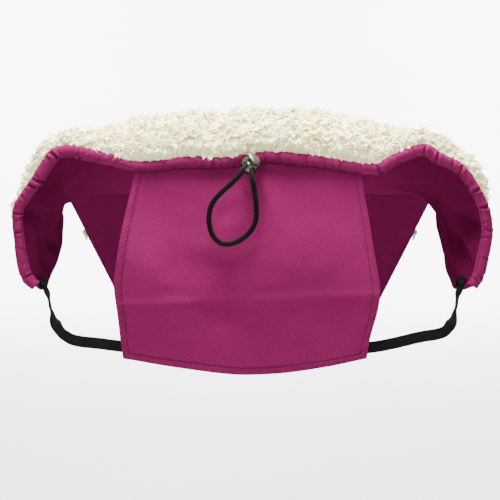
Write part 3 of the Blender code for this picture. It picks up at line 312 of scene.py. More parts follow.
def many_tubes(name, points, shade, ends=True, **more):
    """Short tubes in one mesh, from points by tube, ring and place round the ring."""
    count, rows, columns = points.shape[:3]
    base = np.arange(count)[:, None, None] * rows * columns
    faces = (base + grid_faces(rows, columns, closed=True)).reshape(-1, 4).tolist()
    if ends:
        ring = np.arange(columns)
        faces += (base + np.stack([ring[::-1], ring + (rows - 1) * columns])).reshape(-1, columns).tolist()
    return mesh_piece(name, points.reshape(-1, 3), faces, shade, **more)


# Shape of the bag: the same named sizes as the solids

RIM_HALF_WIDTH = 0.237
RIM_DROP = 0.118
RIM_SHARES = (
    (-0.905, -0.985), (-0.947, -0.890), (-0.967, -0.695), (-0.979, -0.466), (-0.977, -0.339), (-0.958, -0.263),
    (-0.895, -0.085), (-0.831, 0.102), (-0.800, 0.150), (-0.751, 0.161), (-0.692, 0.136), (-0.578, 0.081),
    (-0.515, 0.042), (-0.422, 0.034), (-0.266, 0.068), (-0.118, 0.064), (0.0, 0.102), (0.055, 0.114),
    (0.156, 0.102), (0.304, 0.068), (0.443, 0.021), (0.532, 0.013), (0.591, 0.068), (0.658, 0.131),
    (0.734, 0.169), (0.785, 0.110), (0.882, 0.008), (0.928, -0.110), (0.970, -0.254), (0.998, -0.441),
    (0.996, -0.593), (0.980, -0.771), (0.966, -0.890), (0.940, -0.985),
)
HOOD_DEPTH = 0.250
SLOPE = math.radians(20)
BODY_END = 0.945
COVER_START = 0.430
SHELL = 0.0015
WADDING = 0.008
PILE = 0.014
FULL = WADDING + PILE
LAYER_GAP = 0.0005
BACK_TOP = SHELL + WADDING + PILE + 2 * LAYER_GAP
EDGE_TOP = SHELL + (WADDING + PILE) / 2 + 2 * LAYER_GAP
FLAP_HEIGHT = 0.205
SEAT_HALF_WIDTH, FOOT_HALF_WIDTH = 0.213, 0.186
UP = np.array((0.0, math.sin(SLOPE), math.cos(SLOPE)))
DOWN_SLOPE = np.array((0.0, math.cos(SLOPE), -math.sin(SLOPE)))


def centre_height(y):
    behind = np.asarray(y) - 0.045
    return 0.038 - math.tan(SLOPE) * 0.5 * (behind + np.sqrt(behind**2 + 0.050**2))


def body_height(y):
    return centre_height(HOOD_DEPTH) - math.tan(SLOPE) * (np.asarray(y) - HOOD_DEPTH)


def half_width(y):
    share = (np.asarray(y) - HOOD_DEPTH) / (BODY_END - HOOD_DEPTH)
    return SEAT_HALF_WIDTH + (FOOT_HALF_WIDTH - SEAT_HALF_WIDTH) * share


def rim_line():
    return smooth_curve([(x * RIM_HALF_WIDTH, 0.0, z * RIM_DROP) for x, z in RIM_SHARES])


def rim_height(x):
    line = np.array([p for p in rim_line() if p[2] > -0.027])
    line = line[np.argsort(line[:, 0])]
    return np.interp(x, line[:, 0], line[:, 2])


def rim_outward(line):
    tangent = unit(np.gradient(line, axis=0))
    return np.stack([-tangent[:, 2], np.zeros(len(line)), tangent[:, 0]], axis=1)


def squared_arch(power, reach, count):
    """A rounded-off arch: places across, and shares of its height."""
    turn = np.linspace(math.pi, 0, count)
    across = np.sign(np.cos(turn)) * np.abs(np.cos(turn)) ** (2 / power) * reach
    return across, np.abs(np.sin(turn)) ** (2 / power)


def arch_section(y, shares):
    width = SEAT_HALF_WIDTH - 0.006 * math.sin(math.pi * y / HOOD_DEPTH)
    drop = 0.158 * (1 - (y / HOOD_DEPTH) ** 1.55)
    across, up = squared_arch(3.2, width, 361)
    return at_shares(spots(across, y, centre_height(y) - drop * (1 - up)), shares)


def shoulder_share(base):
    """How far out towards the wings the rim's places lie: 0 over the crown and 1 from the shoulders on."""
    return rise(np.abs(base[:, 0]) / RIM_HALF_WIDTH, 0.40, 0.35)


def crown_share(height):
    """1 where the rim runs high over the seat, and 0 down at the wings."""
    return rise(height, -0.055, 0.060)


FIRST_ROW = 0.015
HOOD_COLUMNS = 400
HOOD_DEPTHS = np.concatenate([np.linspace(-0.004, 0.06, 52), np.linspace(0.06, 0.2496, 70)[1:]])
RIM_GIRTH = 0.66
RIM_GAP = 0.0042
CROWN_LIFT = 0.022
WING_HANG = 0.0070


def hood_grid(columns, depths):
    """The seat side of the hood's cloth, at the given depths behind the rim."""
    shares = np.linspace(0, 1, columns)
    base = at_shares(rim_line(), shares)
    outward = unit(softened(rim_outward(base), columns // 60))
    crown = crown_share(base[:, 2])[:, None]
    crown_lift = CROWN_LIFT * crown * (1 - 0.70 * shoulder_share(base)[:, None])
    tilt = np.radians(100 - 55 * crown)
    first = base + RIM_GAP * (np.cos(tilt) * outward + np.sin(tilt) * TOWARDS_FEET)

    def at_depth(y):
        lift = crown_lift * smooth_step(y / 0.0375) - y * 0.30 * (1 - crown)
        near = base + outward * (0.007 * crown + lift) + TOWARDS_FEET * y
        keep = fade(y, 0.060, 0.060)
        return keep * near + (1 - keep) * arch_section(y, shares)

    joined = at_depth(FIRST_ROW)
    grid = np.array([at_depth(y) if y >= FIRST_ROW else first + (joined - first) * (y / FIRST_ROW) for y in depths])
    from_tip = np.minimum(shares, 1 - shares)[None, :] * RIM_GIRTH
    y = grid[:, :, 1]
    grid[:, :, 2] -= WING_HANG * np.exp(-from_tip / 0.020) * smooth_step(y / 0.02) * fade(y, 0.16, 0.10)
    return grid


def hood_share(grid):
    """Share of the full thickness: thin at the rim, over the shoulders and along the wings' lower edges."""
    columns = grid.shape[1]
    edge = 1 - 0.5 * rise(np.abs(np.linspace(-1, 1, columns))[None, :], 0.80, 0.20)
    near = 0.35 + 0.65 * smooth_step(grid[:, :, 1] / 0.050)
    fading = smooth_step((1 - grid[:, :, 1] / HOOD_DEPTH) / 0.52)
    base = at_shares(rim_line(), np.linspace(0, 1, columns))
    return np.minimum(near, edge) * (1 - 0.35 * shoulder_share(base)[None, :] * fading)


# Materials


class Shade:
    """A node material with short calls for the nodes that all of these materials use."""

    def __init__(self, name):
        self.material = bpy.data.materials.new(name)
        self.material.use_nodes = True
        self.tree = self.material.node_tree
        self.bsdf = self.tree.nodes["Principled BSDF"]

    def feed(self, socket, value):
        """Links a socket, or sets it to a number or colour."""
        if isinstance(value, bpy.types.NodeSocket):
            self.tree.links.new(value, socket)
        elif isinstance(value, tuple):
            socket.default_value = (*value, 1.0)[:len(socket.default_value)]
        else:
            socket.default_value = value

    def node(self, kind, feeds=(), **values):
        made = self.tree.nodes.new(kind)
        for key, value in values.items():
            setattr(made, key, value)
        for key, value in dict(feeds).items():
            self.feed(made.inputs[key], value)
        return made

    def math(self, operation, first, second=None):
        feeds = {0: first} if second is None else {0: first, 1: second}
        return self.node("ShaderNodeMath", feeds, operation=operation).outputs[0]

    def sum_of(self, value, share, rest):
        return self.math("ADD", self.math("MULTIPLY", value, share), rest)

    def wave(self, place, pitch):
        return self.math("SINE", self.math("MULTIPLY", place, math.tau / pitch))

    def metres(self):
        split = self.node("ShaderNodeSeparateXYZ", {0: self.node("ShaderNodeUVMap", uv_map="metres").outputs[0]})
        return split.outputs[0], split.outputs[1]

    def noise(self, scale, detail=3.0, roughness=0.55, place=None):
        place = place or self.node("ShaderNodeTexCoord").outputs["Object"]
        feeds = {"Vector": place, "Scale": scale, "Detail": detail, "Roughness": roughness}
        return self.node("ShaderNodeTexNoise", feeds).outputs["Fac"]

    def ramp(self, factor, stops):
        made = self.node("ShaderNodeValToRGB", {0: factor})
        ends = made.color_ramp.elements
        while len(ends) < len(stops):
            ends.new(0.5)
        for stop, (where, colour) in zip(ends, stops):
            stop.position = where
            stop.color = (*colour, 1.0)
        return made.outputs[0]

    def mix(self, factor, first, second, blend="MIX"):
        feeds = {0: factor, 6: first, 7: second}
        return self.node("ShaderNodeMix", feeds, data_type="RGBA", blend_type=blend).outputs[2]

    def finished(self, bumps, **values):
        """The material, with the Principled node's values and bumps given as (height, strength, distance)."""
        for key, value in values.items():
            self.feed(self.bsdf.inputs[key.replace("_", " ")], value)
        last = None
        for height, strength, distance in bumps:
            feeds = {"Height": height, "Strength": strength, "Distance": distance}
            if last is not None:
                feeds["Normal"] = last
            last = self.node("ShaderNodeBump", feeds).outputs[0]
        if last is not None:
            self.feed(self.bsdf.inputs["Normal"], last)
        return self.material


def toned(colour, share, lift=0.0):
    return tuple(min(1.0, c * share + lift) for c in colour)


def between(first, second, share=0.5):
    return tuple(a + (b - a) * share for a, b in zip(first, second))


def canvas_shade(name, colour, pitch=0.0020, roughness=0.80, gloss=0.05):
    """Woven polyester: a visible weave, light and dark slubs in both yarns and a slight sheen."""
    shade = Shade(name)
    u, v = shade.metres()
    weave = shade.math("MULTIPLY", shade.wave(u, pitch), shade.wave(v, pitch))
    flecks = []
    for across, along in ((260.0, 1150.0), (1150.0, 260.0)):
        place = {0: shade.math("MULTIPLY", u, across), 1: shade.math("MULTIPLY", v, along)}
        flecks.append(shade.noise(1.0, 2.0, 0.6, shade.node("ShaderNodeCombineXYZ", place).outputs[0]))
    slub = shade.sum_of(shade.math("ADD", *flecks), 0.22, 0.28)
    base = shade.ramp(shade.noise(9, 4.0), ((0.30, toned(colour, 0.90)), (0.70, toned(colour, 1.10))))
    grain = shade.sum_of(weave, 0.18, slub)
    tone = shade.ramp(grain, ((0.30, toned(colour, 0.40)), (0.50, colour), (0.70, toned(colour, 1.75, 0.002))))
    return shade.finished(((weave, 0.45, 0.0005), (slub, 0.35, 0.0004), (shade.noise(60), 0.25, 0.0020)),
                          Base_Color=shade.mix(0.75, base, tone), Roughness=roughness, Specular_IOR_Level=gloss)


def sherpa_shade(name, pale, deep):
    """Curly fleece: pale on its tufts, and darker and warmer in its hollows, which is painted shade."""
    shade = Shade(name)
    clump = shade.noise(150, 4.0, 0.65)
    tuft = shade.node("ShaderNodeAttribute", attribute_name="tuft").outputs["Fac"]
    high = shade.sum_of(tuft, 0.70, shade.math("MULTIPLY", clump, 0.40))
    # Low tuft heights get the deep colour: painted shade in the hollows; the clump noise adds random tone.
    tone = shade.ramp(high, ((0.15, toned(deep, 0.86)), (0.40, deep), (0.75, pale)))
    return shade.finished(((clump, 0.5, 0.0020), (shade.noise(900, 2.0, 0.7), 0.5, 0.0008)), Base_Color=tone,
                          Roughness=0.95, Specular_IOR_Level=0.1, Sheen_Weight=0.10, Sheen_Roughness=0.6,
                          Sheen_Tint=(1.0, 0.96, 0.86))


def lock_shade(name, root_shade, tip):
    """Locks of pile: their second coordinate runs from root to tip, and the first tells them apart. Painted shade
    darkens each lock towards its root.
    """
    shade = Shade(name)
    own, along = shade.metres()
    tone = shade.ramp(along, ((0.0, root_shade), (0.40, between(root_shade, tip, 2 / 3)), (0.85, tip)))
    faded = shade.ramp(own, ((0.0, (0.96, 0.93, 0.84)), (1.0, (1.0, 1.0, 1.0))))
    return shade.finished((), Base_Color=shade.mix(1.0, tone, faded, "MULTIPLY"), Roughness=0.85,
                          Specular_IOR_Level=0.15, Sheen_Weight=0.15, Sheen_Roughness=0.5)


def thread_shade(name, colour):
    shade = Shade(name)
    tone = shade.ramp(shade.noise(60, 2.0), ((0.3, toned(colour, 0.92)), (0.7, colour)))
    return shade.finished((), Base_Color=tone, Roughness=0.9, Specular_IOR_Level=0.1, Sheen_Weight=0.05,
                          Sheen_Roughness=0.6)


def ribbed_shade(name, colour, pitch):
    """Woven elastic or tape: fine ribs with a fuzz over them."""
    shade = Shade(name)
    u, v = shade.metres()
    rib, yarn, fuzz = shade.wave(v, pitch), shade.wave(u, pitch * 1.7), shade.noise(700, 2.0)
    tone = shade.ramp(shade.sum_of(rib, 0.25, fuzz), ((0.35, colour), (0.85, toned(colour, 2.0, 0.0015))))
    return shade.finished(((rib, 0.5, 0.0003), (yarn, 0.25, 0.0002), (fuzz, 0.3, 0.0002)), Base_Color=tone,
                          Roughness=0.75, Specular_IOR_Level=0.10)


def braid_shade(name, dark, painted_highlight):
    """Braided cord: strands that wind both ways, with a painted highlight where they pass over."""
    shade = Shade(name)
    around, along = shade.metres()
    turn = shade.math("MULTIPLY", around, math.tau * BRAID_STRANDS)
    run = shade.math("MULTIPLY", along, math.tau / BRAID_PITCH)
    weave = shade.math("MULTIPLY", *(shade.math("SINE", shade.math(way, turn, run)) for way in ("ADD", "SUBTRACT")))
    fuzz = shade.noise(900, 2.0)
    tone = shade.ramp(shade.sum_of(weave, 0.35, fuzz), ((0.40, dark), (0.62, between(dark, painted_highlight)), (0.80, painted_highlight)))
    return shade.finished(((weave, 0.5, 0.0004), (fuzz, 0.3, 0.0002)), Base_Color=tone, Roughness=0.75,
                          Specular_IOR_Level=0.05)


def metal_shade(name, colour, roughness, worn, metallic=1.0):
    """Plated metal: cloudy polish, fine scratches and rubbed edges."""
    shade = Shade(name)
    cloud = shade.noise(160, 4.0)
    stretched = shade.node("ShaderNodeMapping", {"Vector": shade.node("ShaderNodeTexCoord").outputs["Object"],
                                                 "Scale": (400.0, 2600.0, 400.0)}).outputs[0]
    edge = shade.node("ShaderNodeNewGeometry").outputs["Pointiness"]
    rubbed = shade.ramp(edge, ((0.50, (0.0, 0.0, 0.0)), (0.58, (1.0, 1.0, 1.0))))
    base = shade.ramp(cloud, ((0.3, toned(colour, 0.75)), (0.7, colour)))
    return shade.finished(((shade.noise(1.0, 6.0, 0.5, stretched), 0.08, 0.0001),), Metallic=metallic,
                          Base_Color=shade.mix(rubbed, base, worn),
                          Roughness=shade.sum_of(cloud, 0.22, roughness - 0.1))


def plastic_shade(name, colour, roughness):
    shade = Shade(name)
    tone = shade.ramp(shade.noise(90), ((0.3, colour), (0.75, toned(colour, 1.5, 0.004))))
    return shade.finished(((shade.noise(1400, 2.0), 0.15, 0.0001),), Base_Color=tone, Roughness=roughness,
                          Specular_IOR_Level=0.5)


MAGENTA = (0.131, 0.0058, 0.050)
BRAID_STRANDS = 8
BRAID_PITCH = 0.0034
SHADES = {
    "canvas": (canvas_shade("canvas_magenta", MAGENTA), "canvas"),
    # The same magenta cloth darkened to 0.55: painted shade on the hood's and the collar's inner faces.
    "canvas_painted_shade_inside": (canvas_shade("canvas_magenta_painted_shade_inside", toned(MAGENTA, 0.55), gloss=0.0), "canvas"),
    # The same magenta cloth darkened to 0.40: painted shade on the bag's underside.
    "canvas_painted_shade_under": (canvas_shade("canvas_magenta_painted_shade_under", toned(MAGENTA, 0.40), gloss=0.0), "canvas"),
    "binding": (canvas_shade("binding_tape", toned(MAGENTA, 0.75), 0.0009, 0.55), "canvas"),
    "thread": (thread_shade("sewing_thread", (0.022, 0.0016, 0.008)), "canvas"),
    # The fleece's deep colour and the locks' root colour are painted shade down in the pile.
    "sherpa": (sherpa_shade("sherpa_fleece", (0.99, 0.96, 0.64), (0.93, 0.80, 0.38)), "sherpa"),
    "locks": (lock_shade("sherpa_locks", (0.95, 0.83, 0.38), (0.99, 0.985, 0.68)), "sherpa"),
    # The cord's second colour is the painted highlight on the strands that pass over.
    "cord": (braid_shade("braided_cord", (0.0005, 0.0005, 0.0006), (0.012, 0.013, 0.011)), "cord"),
    "elastic": (ribbed_shade("elastic_webbing", (0.0018, 0.0018, 0.0021), 0.0011), "elastic"),
    "zip_tape": (ribbed_shade("zip_tape", (0.030, 0.008, 0.016), 0.0010), "elastic"),
    "zip_teeth": (plastic_shade("zip_teeth", (0.018, 0.018, 0.020), 0.38), "elastic"),
    "metal": (metal_shade("black_lacquer", (0.030, 0.030, 0.032), 0.34, (0.16, 0.15, 0.14), 0.85), None),
    "nickel": (metal_shade("antique_nickel", (0.034, 0.031, 0.027), 0.28, (0.13, 0.12, 0.10)), None),
    "steel": (metal_shade("spring_steel", (0.55, 0.55, 0.56), 0.25, (0.70, 0.70, 0.70)), None),
}

# Drawcord: the loop that hangs from the cord lock, and the stretches in the tunnel

CORD_DIAMETER = 0.005
LOOP_POINTS = (
    (-0.0145, 0.0, 0.0094), (-0.0110, -0.0002, 0.0102), (-0.0070, -0.0012, 0.0113), (-0.0032, -0.0034, 0.0121),
    (-0.0011, -0.0067, 0.0122), (-0.0019, -0.0103, 0.0108), (-0.0032, -0.0168, 0.0083),
    (-0.0045, -0.0232, 0.0059), (-0.0054, -0.0273, 0.0043), (-0.0073, -0.0315, 0.0010),
    (-0.0113, -0.0333, -0.0050), (-0.0180, -0.0325, -0.0118), (-0.0262, -0.0300, -0.0192),
    (-0.0345, -0.0273, -0.0280), (-0.0395, -0.0252, -0.0385), (-0.0402, -0.0240, -0.0520),
    (-0.0364, -0.0238, -0.0640), (-0.0285, -0.0240, -0.0712), (-0.0195, -0.0246, -0.0720),
    (-0.0095, -0.0254, -0.0680), (-0.0010, -0.0262, -0.0610), (0.0052, -0.0272, -0.0500),
    (0.0062, -0.0286, -0.0370), (0.0050, -0.0304, -0.0240), (0.0033, -0.0316, -0.0135), (0.0018, -0.0306, -0.0058),
    (0.0017, -0.0270, -0.0004), (0.0025, -0.0229, 0.0012), (0.0039, -0.0164, 0.0036), (0.0052, -0.0100, 0.0060),
    (0.0060, -0.0063, 0.0075), (0.0073, -0.0030, 0.0098), (0.0098, -0.0007, 0.0122), (0.0130, 0.0, 0.0133),
)
LOOP_TAIL = 0.005
LOOP_ENDS = (LOOP_POINTS[0][0], LOOP_POINTS[-1][0])


def cord_tube(name, line, body, **more):
    """A cord whose braided strands cross over and under each other."""
    _, across, upright = carried_frames(line)
    turn = BRAID_STRANDS * ring_turns(32)[None, :]
    run = lengths_along(line)[:, None] * math.tau / BRAID_PITCH
    a, b = (turn + run) / 2, (turn - run) / 2
    over = 0.5 + 0.5 * np.sin(a + b)
    height = np.maximum(np.abs(np.cos(a)) * (0.65 + 0.35 * over), np.abs(np.cos(b)) * (1 - 0.35 * over))
    reach = CORD_DIAMETER / 2 * (0.86 + 0.16 * height)
    return tube_piece(name, tube_rings(line, across, upright, reach, reach), "cord", body=body, **more)


def make_loop():
    ends = [(x, 0.0, float(rim_height(x))) for x in (LOOP_ENDS[0] - LOOP_TAIL, LOOP_ENDS[1] + LOOP_TAIL)]
    line = smooth_curve([ends[0], *LOOP_POINTS, ends[1]])
    line = softened(at_shares(line, np.linspace(0, 1, 560)), 10)
    loop = cord_tube("drawcord_free_loop", line, "cord_lock", replaces=("drawcord_loop",))


def make_held_cords():
    line = softened(at_shares(rim_line(), np.linspace(0, 1, 700)), 8)
    for (name, side), limit in zip(SIDES, LOOP_ENDS):
        part = line[side * (line[:, 0] - limit) > LOOP_TAIL + 0.0012]
        part = part[6:] if side < 0 else part[:-6]
        cord_tube(f"drawcord_in_tunnel_{name}", part, "bag", replaces=(f"drawcord_{name}",))


make_loop()
make_held_cords()

# Sherpa and its locks

TUFT_SCALE = 0.0045
TUFT_SIZE = 0.0068
LOCK_COUNT = 7600
LOCK_STEPS = np.array((0.0, 0.3, 0.6, 0.85, 1.0))
LOCK_WIDTHS = np.array((0.80, 1.10, 0.95, 0.62, 0.12))
LOCK_SIDES = 3
LOCK_THICKNESS = 0.080
LOCK_ROOT = 0.0010


def fleece_height(points, seed):
    """Height of curly fleece over its backing, from small round tufts on larger clumps."""
    warp = noise_vectors(points, 260, seed)
    coarse = tufts(points + 0.0016 * warp, TUFT_SIZE, seed)
    fine = tufts(points + 0.0008 * warp, TUFT_SIZE * 0.42, seed + 7)
    return 0.0034 * coarse ** 0.8 + 0.0010 * fine + 0.0014 * value_noise(points, 28, seed + 11)


def rounded(distance, radius):
    """A quarter-round edge: 0 at the edge and 1 from a radius on."""
    t = np.clip(distance / radius, 0, 1)
    return np.sqrt(np.clip(1 - (1 - t) ** 2, 0, 1))


def canvas(part, low, high, shade, fill, **more):
    """A sheet of cloth that stands for a part's shell."""
    sheet_solid(f"{part}_canvas", low, high, shade, replaces=(f"{part}_shell",), fill=fill, **more)


def fleece(part, low, high, tuft, **more):
    """A sheet of sherpa that stands for a part's lining and padding."""
    # The tuft heights also set the fleece's painted shade in its hollows.
    sheet_solid(f"{part}_fleece", low, high, "sherpa", replaces=(f"{part}_lining", f"{part}_padding"), fill=0.7,
                tuft=tuft / TUFT_SCALE, **more)


def locks(name, grid, keep, length, seed, drift=(0.0, 0.3, 0.0), body="bag", count=LOCK_COUNT, reach=1.0,
          clump=0.0085):
    """Tapering locks of pile that lie over fleece and run together in pointed clumps."""
    maker = np.random.default_rng(seed)
    down, across = np.gradient(grid, axis=0).reshape(-1, 3), np.gradient(grid, axis=1).reshape(-1, 3)
    area = np.linalg.norm(np.cross(down, across), axis=1) * np.broadcast_to(keep, grid.shape[:2]).ravel()
    pick = maker.choice(len(area), count, p=area / area.sum())
    shift = maker.uniform(-0.5, 0.5, (2, count, 1))
    roots = grid.reshape(-1, 3)[pick] + shift[0] * down[pick] + shift[1] * across[pick]
    normal = grid_normals(grid).reshape(-1, 3)[pick]

    def flattened(v):
        return v - normal * (v * normal).sum(axis=1, keepdims=True)

    centre, _, _ = near_centres(roots, clump, seed % 5 + 3)
    own = shares_of(np.round(centre * 1e5).astype(np.int64), seed)
    flow = noise_vectors(centre, 70, seed % 7) * 1.2 + np.array(drift) + (own - 0.5) * 0.9
    flow = unit(flattened(flow + maker.normal(0, 0.14, (count, 3))))
    other = np.cross(normal, flow)
    pull = flattened(centre - roots)
    size = length * maker.uniform(0.70, 1.10, (count, 1)) * (0.72 + 0.50 * own[:, :1])
    size = size * np.broadcast_to(reach, grid.shape[:2]).ravel()[pick][:, None]
    lift = maker.uniform(0.06, 0.18, (count, 1)) + 0.16 * own[:, 1:2]
    curl = maker.uniform(-0.12, 0.12, (count, 1))
    spin = maker.uniform(0.6, 1.5, (count, 1)) * math.pi
    line = np.stack([roots - normal * LOCK_ROOT + pull * 0.75 * t**1.5 + size * (
        normal * lift * np.sin(2.0 * t) + flow * t * (1 - 0.15 * t) + other * curl * np.sin(spin * t))
        for t in LOCK_STEPS], axis=1)
    along = unit(np.gradient(line, axis=1))
    side = unit(np.cross(along, normal[:, None, :]))
    upright = np.cross(along, side)
    width = length * LOCK_THICKNESS * maker.uniform(0.6, 1.25, (count, 1, 1)) * LOCK_WIDTHS[None, :, None]
    points = np.stack([line + width * (side * math.cos(a) + upright * math.sin(a)) for a in ring_turns(LOCK_SIDES)],
                      axis=2)
    tone = maker.uniform(0, 1, count)[:, None, None]
    uv = spots(tone, LOCK_STEPS[None, :, None], np.zeros(LOCK_SIDES))[..., :2].reshape(-1, 2)
    many_tubes(name, points, "locks", body=body, uv=uv)


# Hood


def cloth_folds(grid, crown):
    """Gathers that run back from the drawn rim, and long soft folds in the wings."""
    u = np.linspace(0, 1, grid.shape[1])[None, :] * RIM_GIRTH
    y = grid[:, :, 1]
    slant = spots(u + 0.25 * y, 0.15 * y)
    gather = value_noise(slant, 95, 3) + 0.5 * value_noise(slant, 210, 5)
    gather = np.sign(gather) * np.abs(gather) ** 1.2
    where = spots(u + 0.55 * y, 0.45 * y)
    bent = where + 0.012 * value_noise(grid, 18, 10)[..., None]
    long = 1 - 2.4 * np.abs(value_noise(bent, 24, 9)) + 0.35 * value_noise(where, 60, 12)
    calm = 0.30 + 0.70 * rise(np.minimum(u, RIM_GIRTH - u), 0.004, 0.045)
    folds = 0.0098 * long * (1 - 0.84 * crown) * calm * rise(y, 0.003, 0.022)
    return 0.0018 * np.exp(-y / 0.030) * gather + folds + 0.0014 * value_noise(grid, 30, 4)


HOOD = hood_grid(HOOD_COLUMNS, HOOD_DEPTHS)
HOOD_NORMAL = grid_normals(HOOD)
HOOD_JOIN = fade(HOOD[:, :, 1], HOOD_DEPTH, 0.03)
HOOD_FOLDS = 0.8 * cloth_folds(HOOD, crown_share(HOOD[0, :, 2])[None, :]) * HOOD_JOIN
CANVAS_THICKNESS = 0.0011


def make_hood_shell():
    low = HOOD + HOOD_NORMAL * (HOOD_FOLDS + 0.0002)[:, :, None]
    # The hood's inner face takes the canvas darkened by painted shade.
    canvas("hood", low, low + HOOD_NORMAL * CANVAS_THICKNESS, "canvas_painted_shade_inside", 0.3)


def make_hood_fleece():
    y = HOOD[:, :, 1]
    u = np.linspace(0, RIM_GIRTH, HOOD_COLUMNS)[None, :]
    from_tip = np.minimum(u, RIM_GIRTH - u)
    edge = rounded(from_tip + 0.0006, 0.012)
    depth = HOOD_DEPTHS[:, None] - HOOD_DEPTHS[0]
    height = (0.0010 + FULL * hood_share(HOOD)) * edge * rounded(depth - 0.0022, 0.013)
    low_wing = fade(HOOD[:1, :, 2], -0.028, 0.050)
    slim = 1 - 0.80 * low_wing * fade(y, 0.044, 0.040)
    slim = slim * (1 - fade(from_tip, 0.026, 0.020) * fade(y, 0.110, 0.060))
    height *= slim
    tuft = fleece_height(HOOD + HOOD_NORMAL * height[:, :, None], 21)
    tuft *= np.minimum(edge, rounded(depth - 0.006, 0.012)) * (0.4 + 0.6 * HOOD_JOIN) * slim
    low = HOOD_FOLDS + 0.0018
    top = HOOD + HOOD_NORMAL * (low + 0.0004 + height + tuft)[:, :, None]
    fleece("hood", HOOD + HOOD_NORMAL * low[:, :, None], top, tuft)
    across = np.abs(np.linspace(-1, 1, HOOD_COLUMNS))[None, :]
    behind = HOOD_DEPTHS[:, None]
    front = (behind > 0) & (behind < 0.075) & (across < 0.975) & (slim > 0.55)
    front = front * (1 + 1.2 * np.exp(-np.clip(behind, 0, 1) / 0.012))
    fringe = (behind > 0.0005) & (behind < 0.0085) & (across < 0.955) & (slim > 0.60)
    rear = (behind >= 0.070) & (across < 0.97)
    reach = (0.60 + 0.40 * smooth_step(behind / 0.014)) * slim
    for k, seed in enumerate((5, 12, 19)):
        locks(f"hood_fleece_locks_{k + 1}", top, front, 0.0098, seed, (0.0, -0.25, -0.45), reach=reach)
    locks("hood_fleece_fringe", top, fringe, 0.0082, 23, (0.0, -0.5, -1.3), count=5400, reach=slim, clump=0.0072)
    for k, seed in enumerate((6, 13)):
        locks(f"hood_fleece_locks_{k + 4}", top, rear, 0.0105, seed, (0.0, 0.3, -0.2))


make_hood_shell()
make_hood_fleece()

# Stitches and the drawcord's tunnel

STITCH_STEPS = ((-0.5, 0.25), (-0.38, 0.85), (0.0, 1.0), (0.38, 0.85), (0.5, 0.25))
STITCH_SIDES = 6


def stitches(name, line, normals, body="bag", pitch=0.0034, length=0.0023, radius=0.00026):
    """A row of lockstitches along a line of points, each a short rounded thread."""
    along = lengths_along(line)
    places = np.arange(pitch / 2, along[-1], pitch)

    def at_places(rows):
        return np.stack([np.interp(places, along, rows[:, k]) for k in range(3)], axis=1)

    centres, normal = at_places(line), unit(at_places(normals))
    tangent = unit(at_places(np.gradient(line, axis=0)))
    side = unit(np.cross(tangent, normal))
    rings = []
    for t, share in STITCH_STEPS:
        middle = centres + tangent * length * t + normal * radius * (0.9 - 2.2 * t * t)
        rings.append(np.stack([middle + share * radius * (side * math.cos(a) + normal * math.sin(a))
                               for a in ring_turns(STITCH_SIDES)], axis=1))
    many_tubes(name, np.stack(rings, axis=1), "thread", ends=False, body=body)


HEM_CORNERS = (
    (-0.170, 0.016, 0.45), (-0.193, 0.014, 0.62), (-0.2075, -0.012, 0.70), (-0.2165, -0.016, 0.55),
    (-0.237, -0.043, 0.42), (-0.238, -0.063, 0.30), (-0.225, -0.108, 0.40), (0.129, -0.001, 0.66),
    (0.173, 0.020, 0.30), (0.184, 0.008, 0.72), (0.208, -0.003, 0.42), (0.227, -0.019, 0.45),
    (0.237, -0.036, 0.48), (0.2435, -0.061, 0.36), (0.229, -0.112, 0.40), (-0.036, 0.009, 0.46), (0.062, 0.006, 0.2),
)
HEM_RADII = (0.0053, 0.0052)
HEM_SIDES = 40
HEM_STITCH_TURN = math.radians(207)


def hem_creases(line, from_middle, turn, seed):
    """Depths of the short creases that the drawn cord leaves across its tunnel, at given corners and in between."""
    maker = np.random.default_rng(seed)
    rows = []
    for x, z, deep in HEM_CORNERS:
        gap = np.hypot(line[:, 0] - x, line[:, 2] - z)
        if gap.min() < 0.012:
            rows.append((from_middle[int(gap.argmin())], deep, 0.0012, maker.uniform(3.6, 5.2)))
    place = 0.012
    while place < from_middle.max() - 0.006:
        rows.append((place, maker.uniform(0.08, 0.26), maker.uniform(0.0009, 0.0017), maker.uniform(3.2, 5.9)))
        place += maker.uniform(0.007, 0.021)
    total = np.zeros((len(from_middle), len(turn)))
    for place, deep, width, middle in rows:
        slant = maker.uniform(-0.0022, 0.0022)
        away = turn[None, :] - middle
        along = (from_middle[:, None] - place - slant * away) / width
        part = np.exp(-np.abs(along) ** 1.5) - 0.30 * np.exp(-((np.abs(along) - 2.4) / 1.3) ** 2)
        total += deep * part * np.exp(-(away / 1.5) ** 2)
    return total


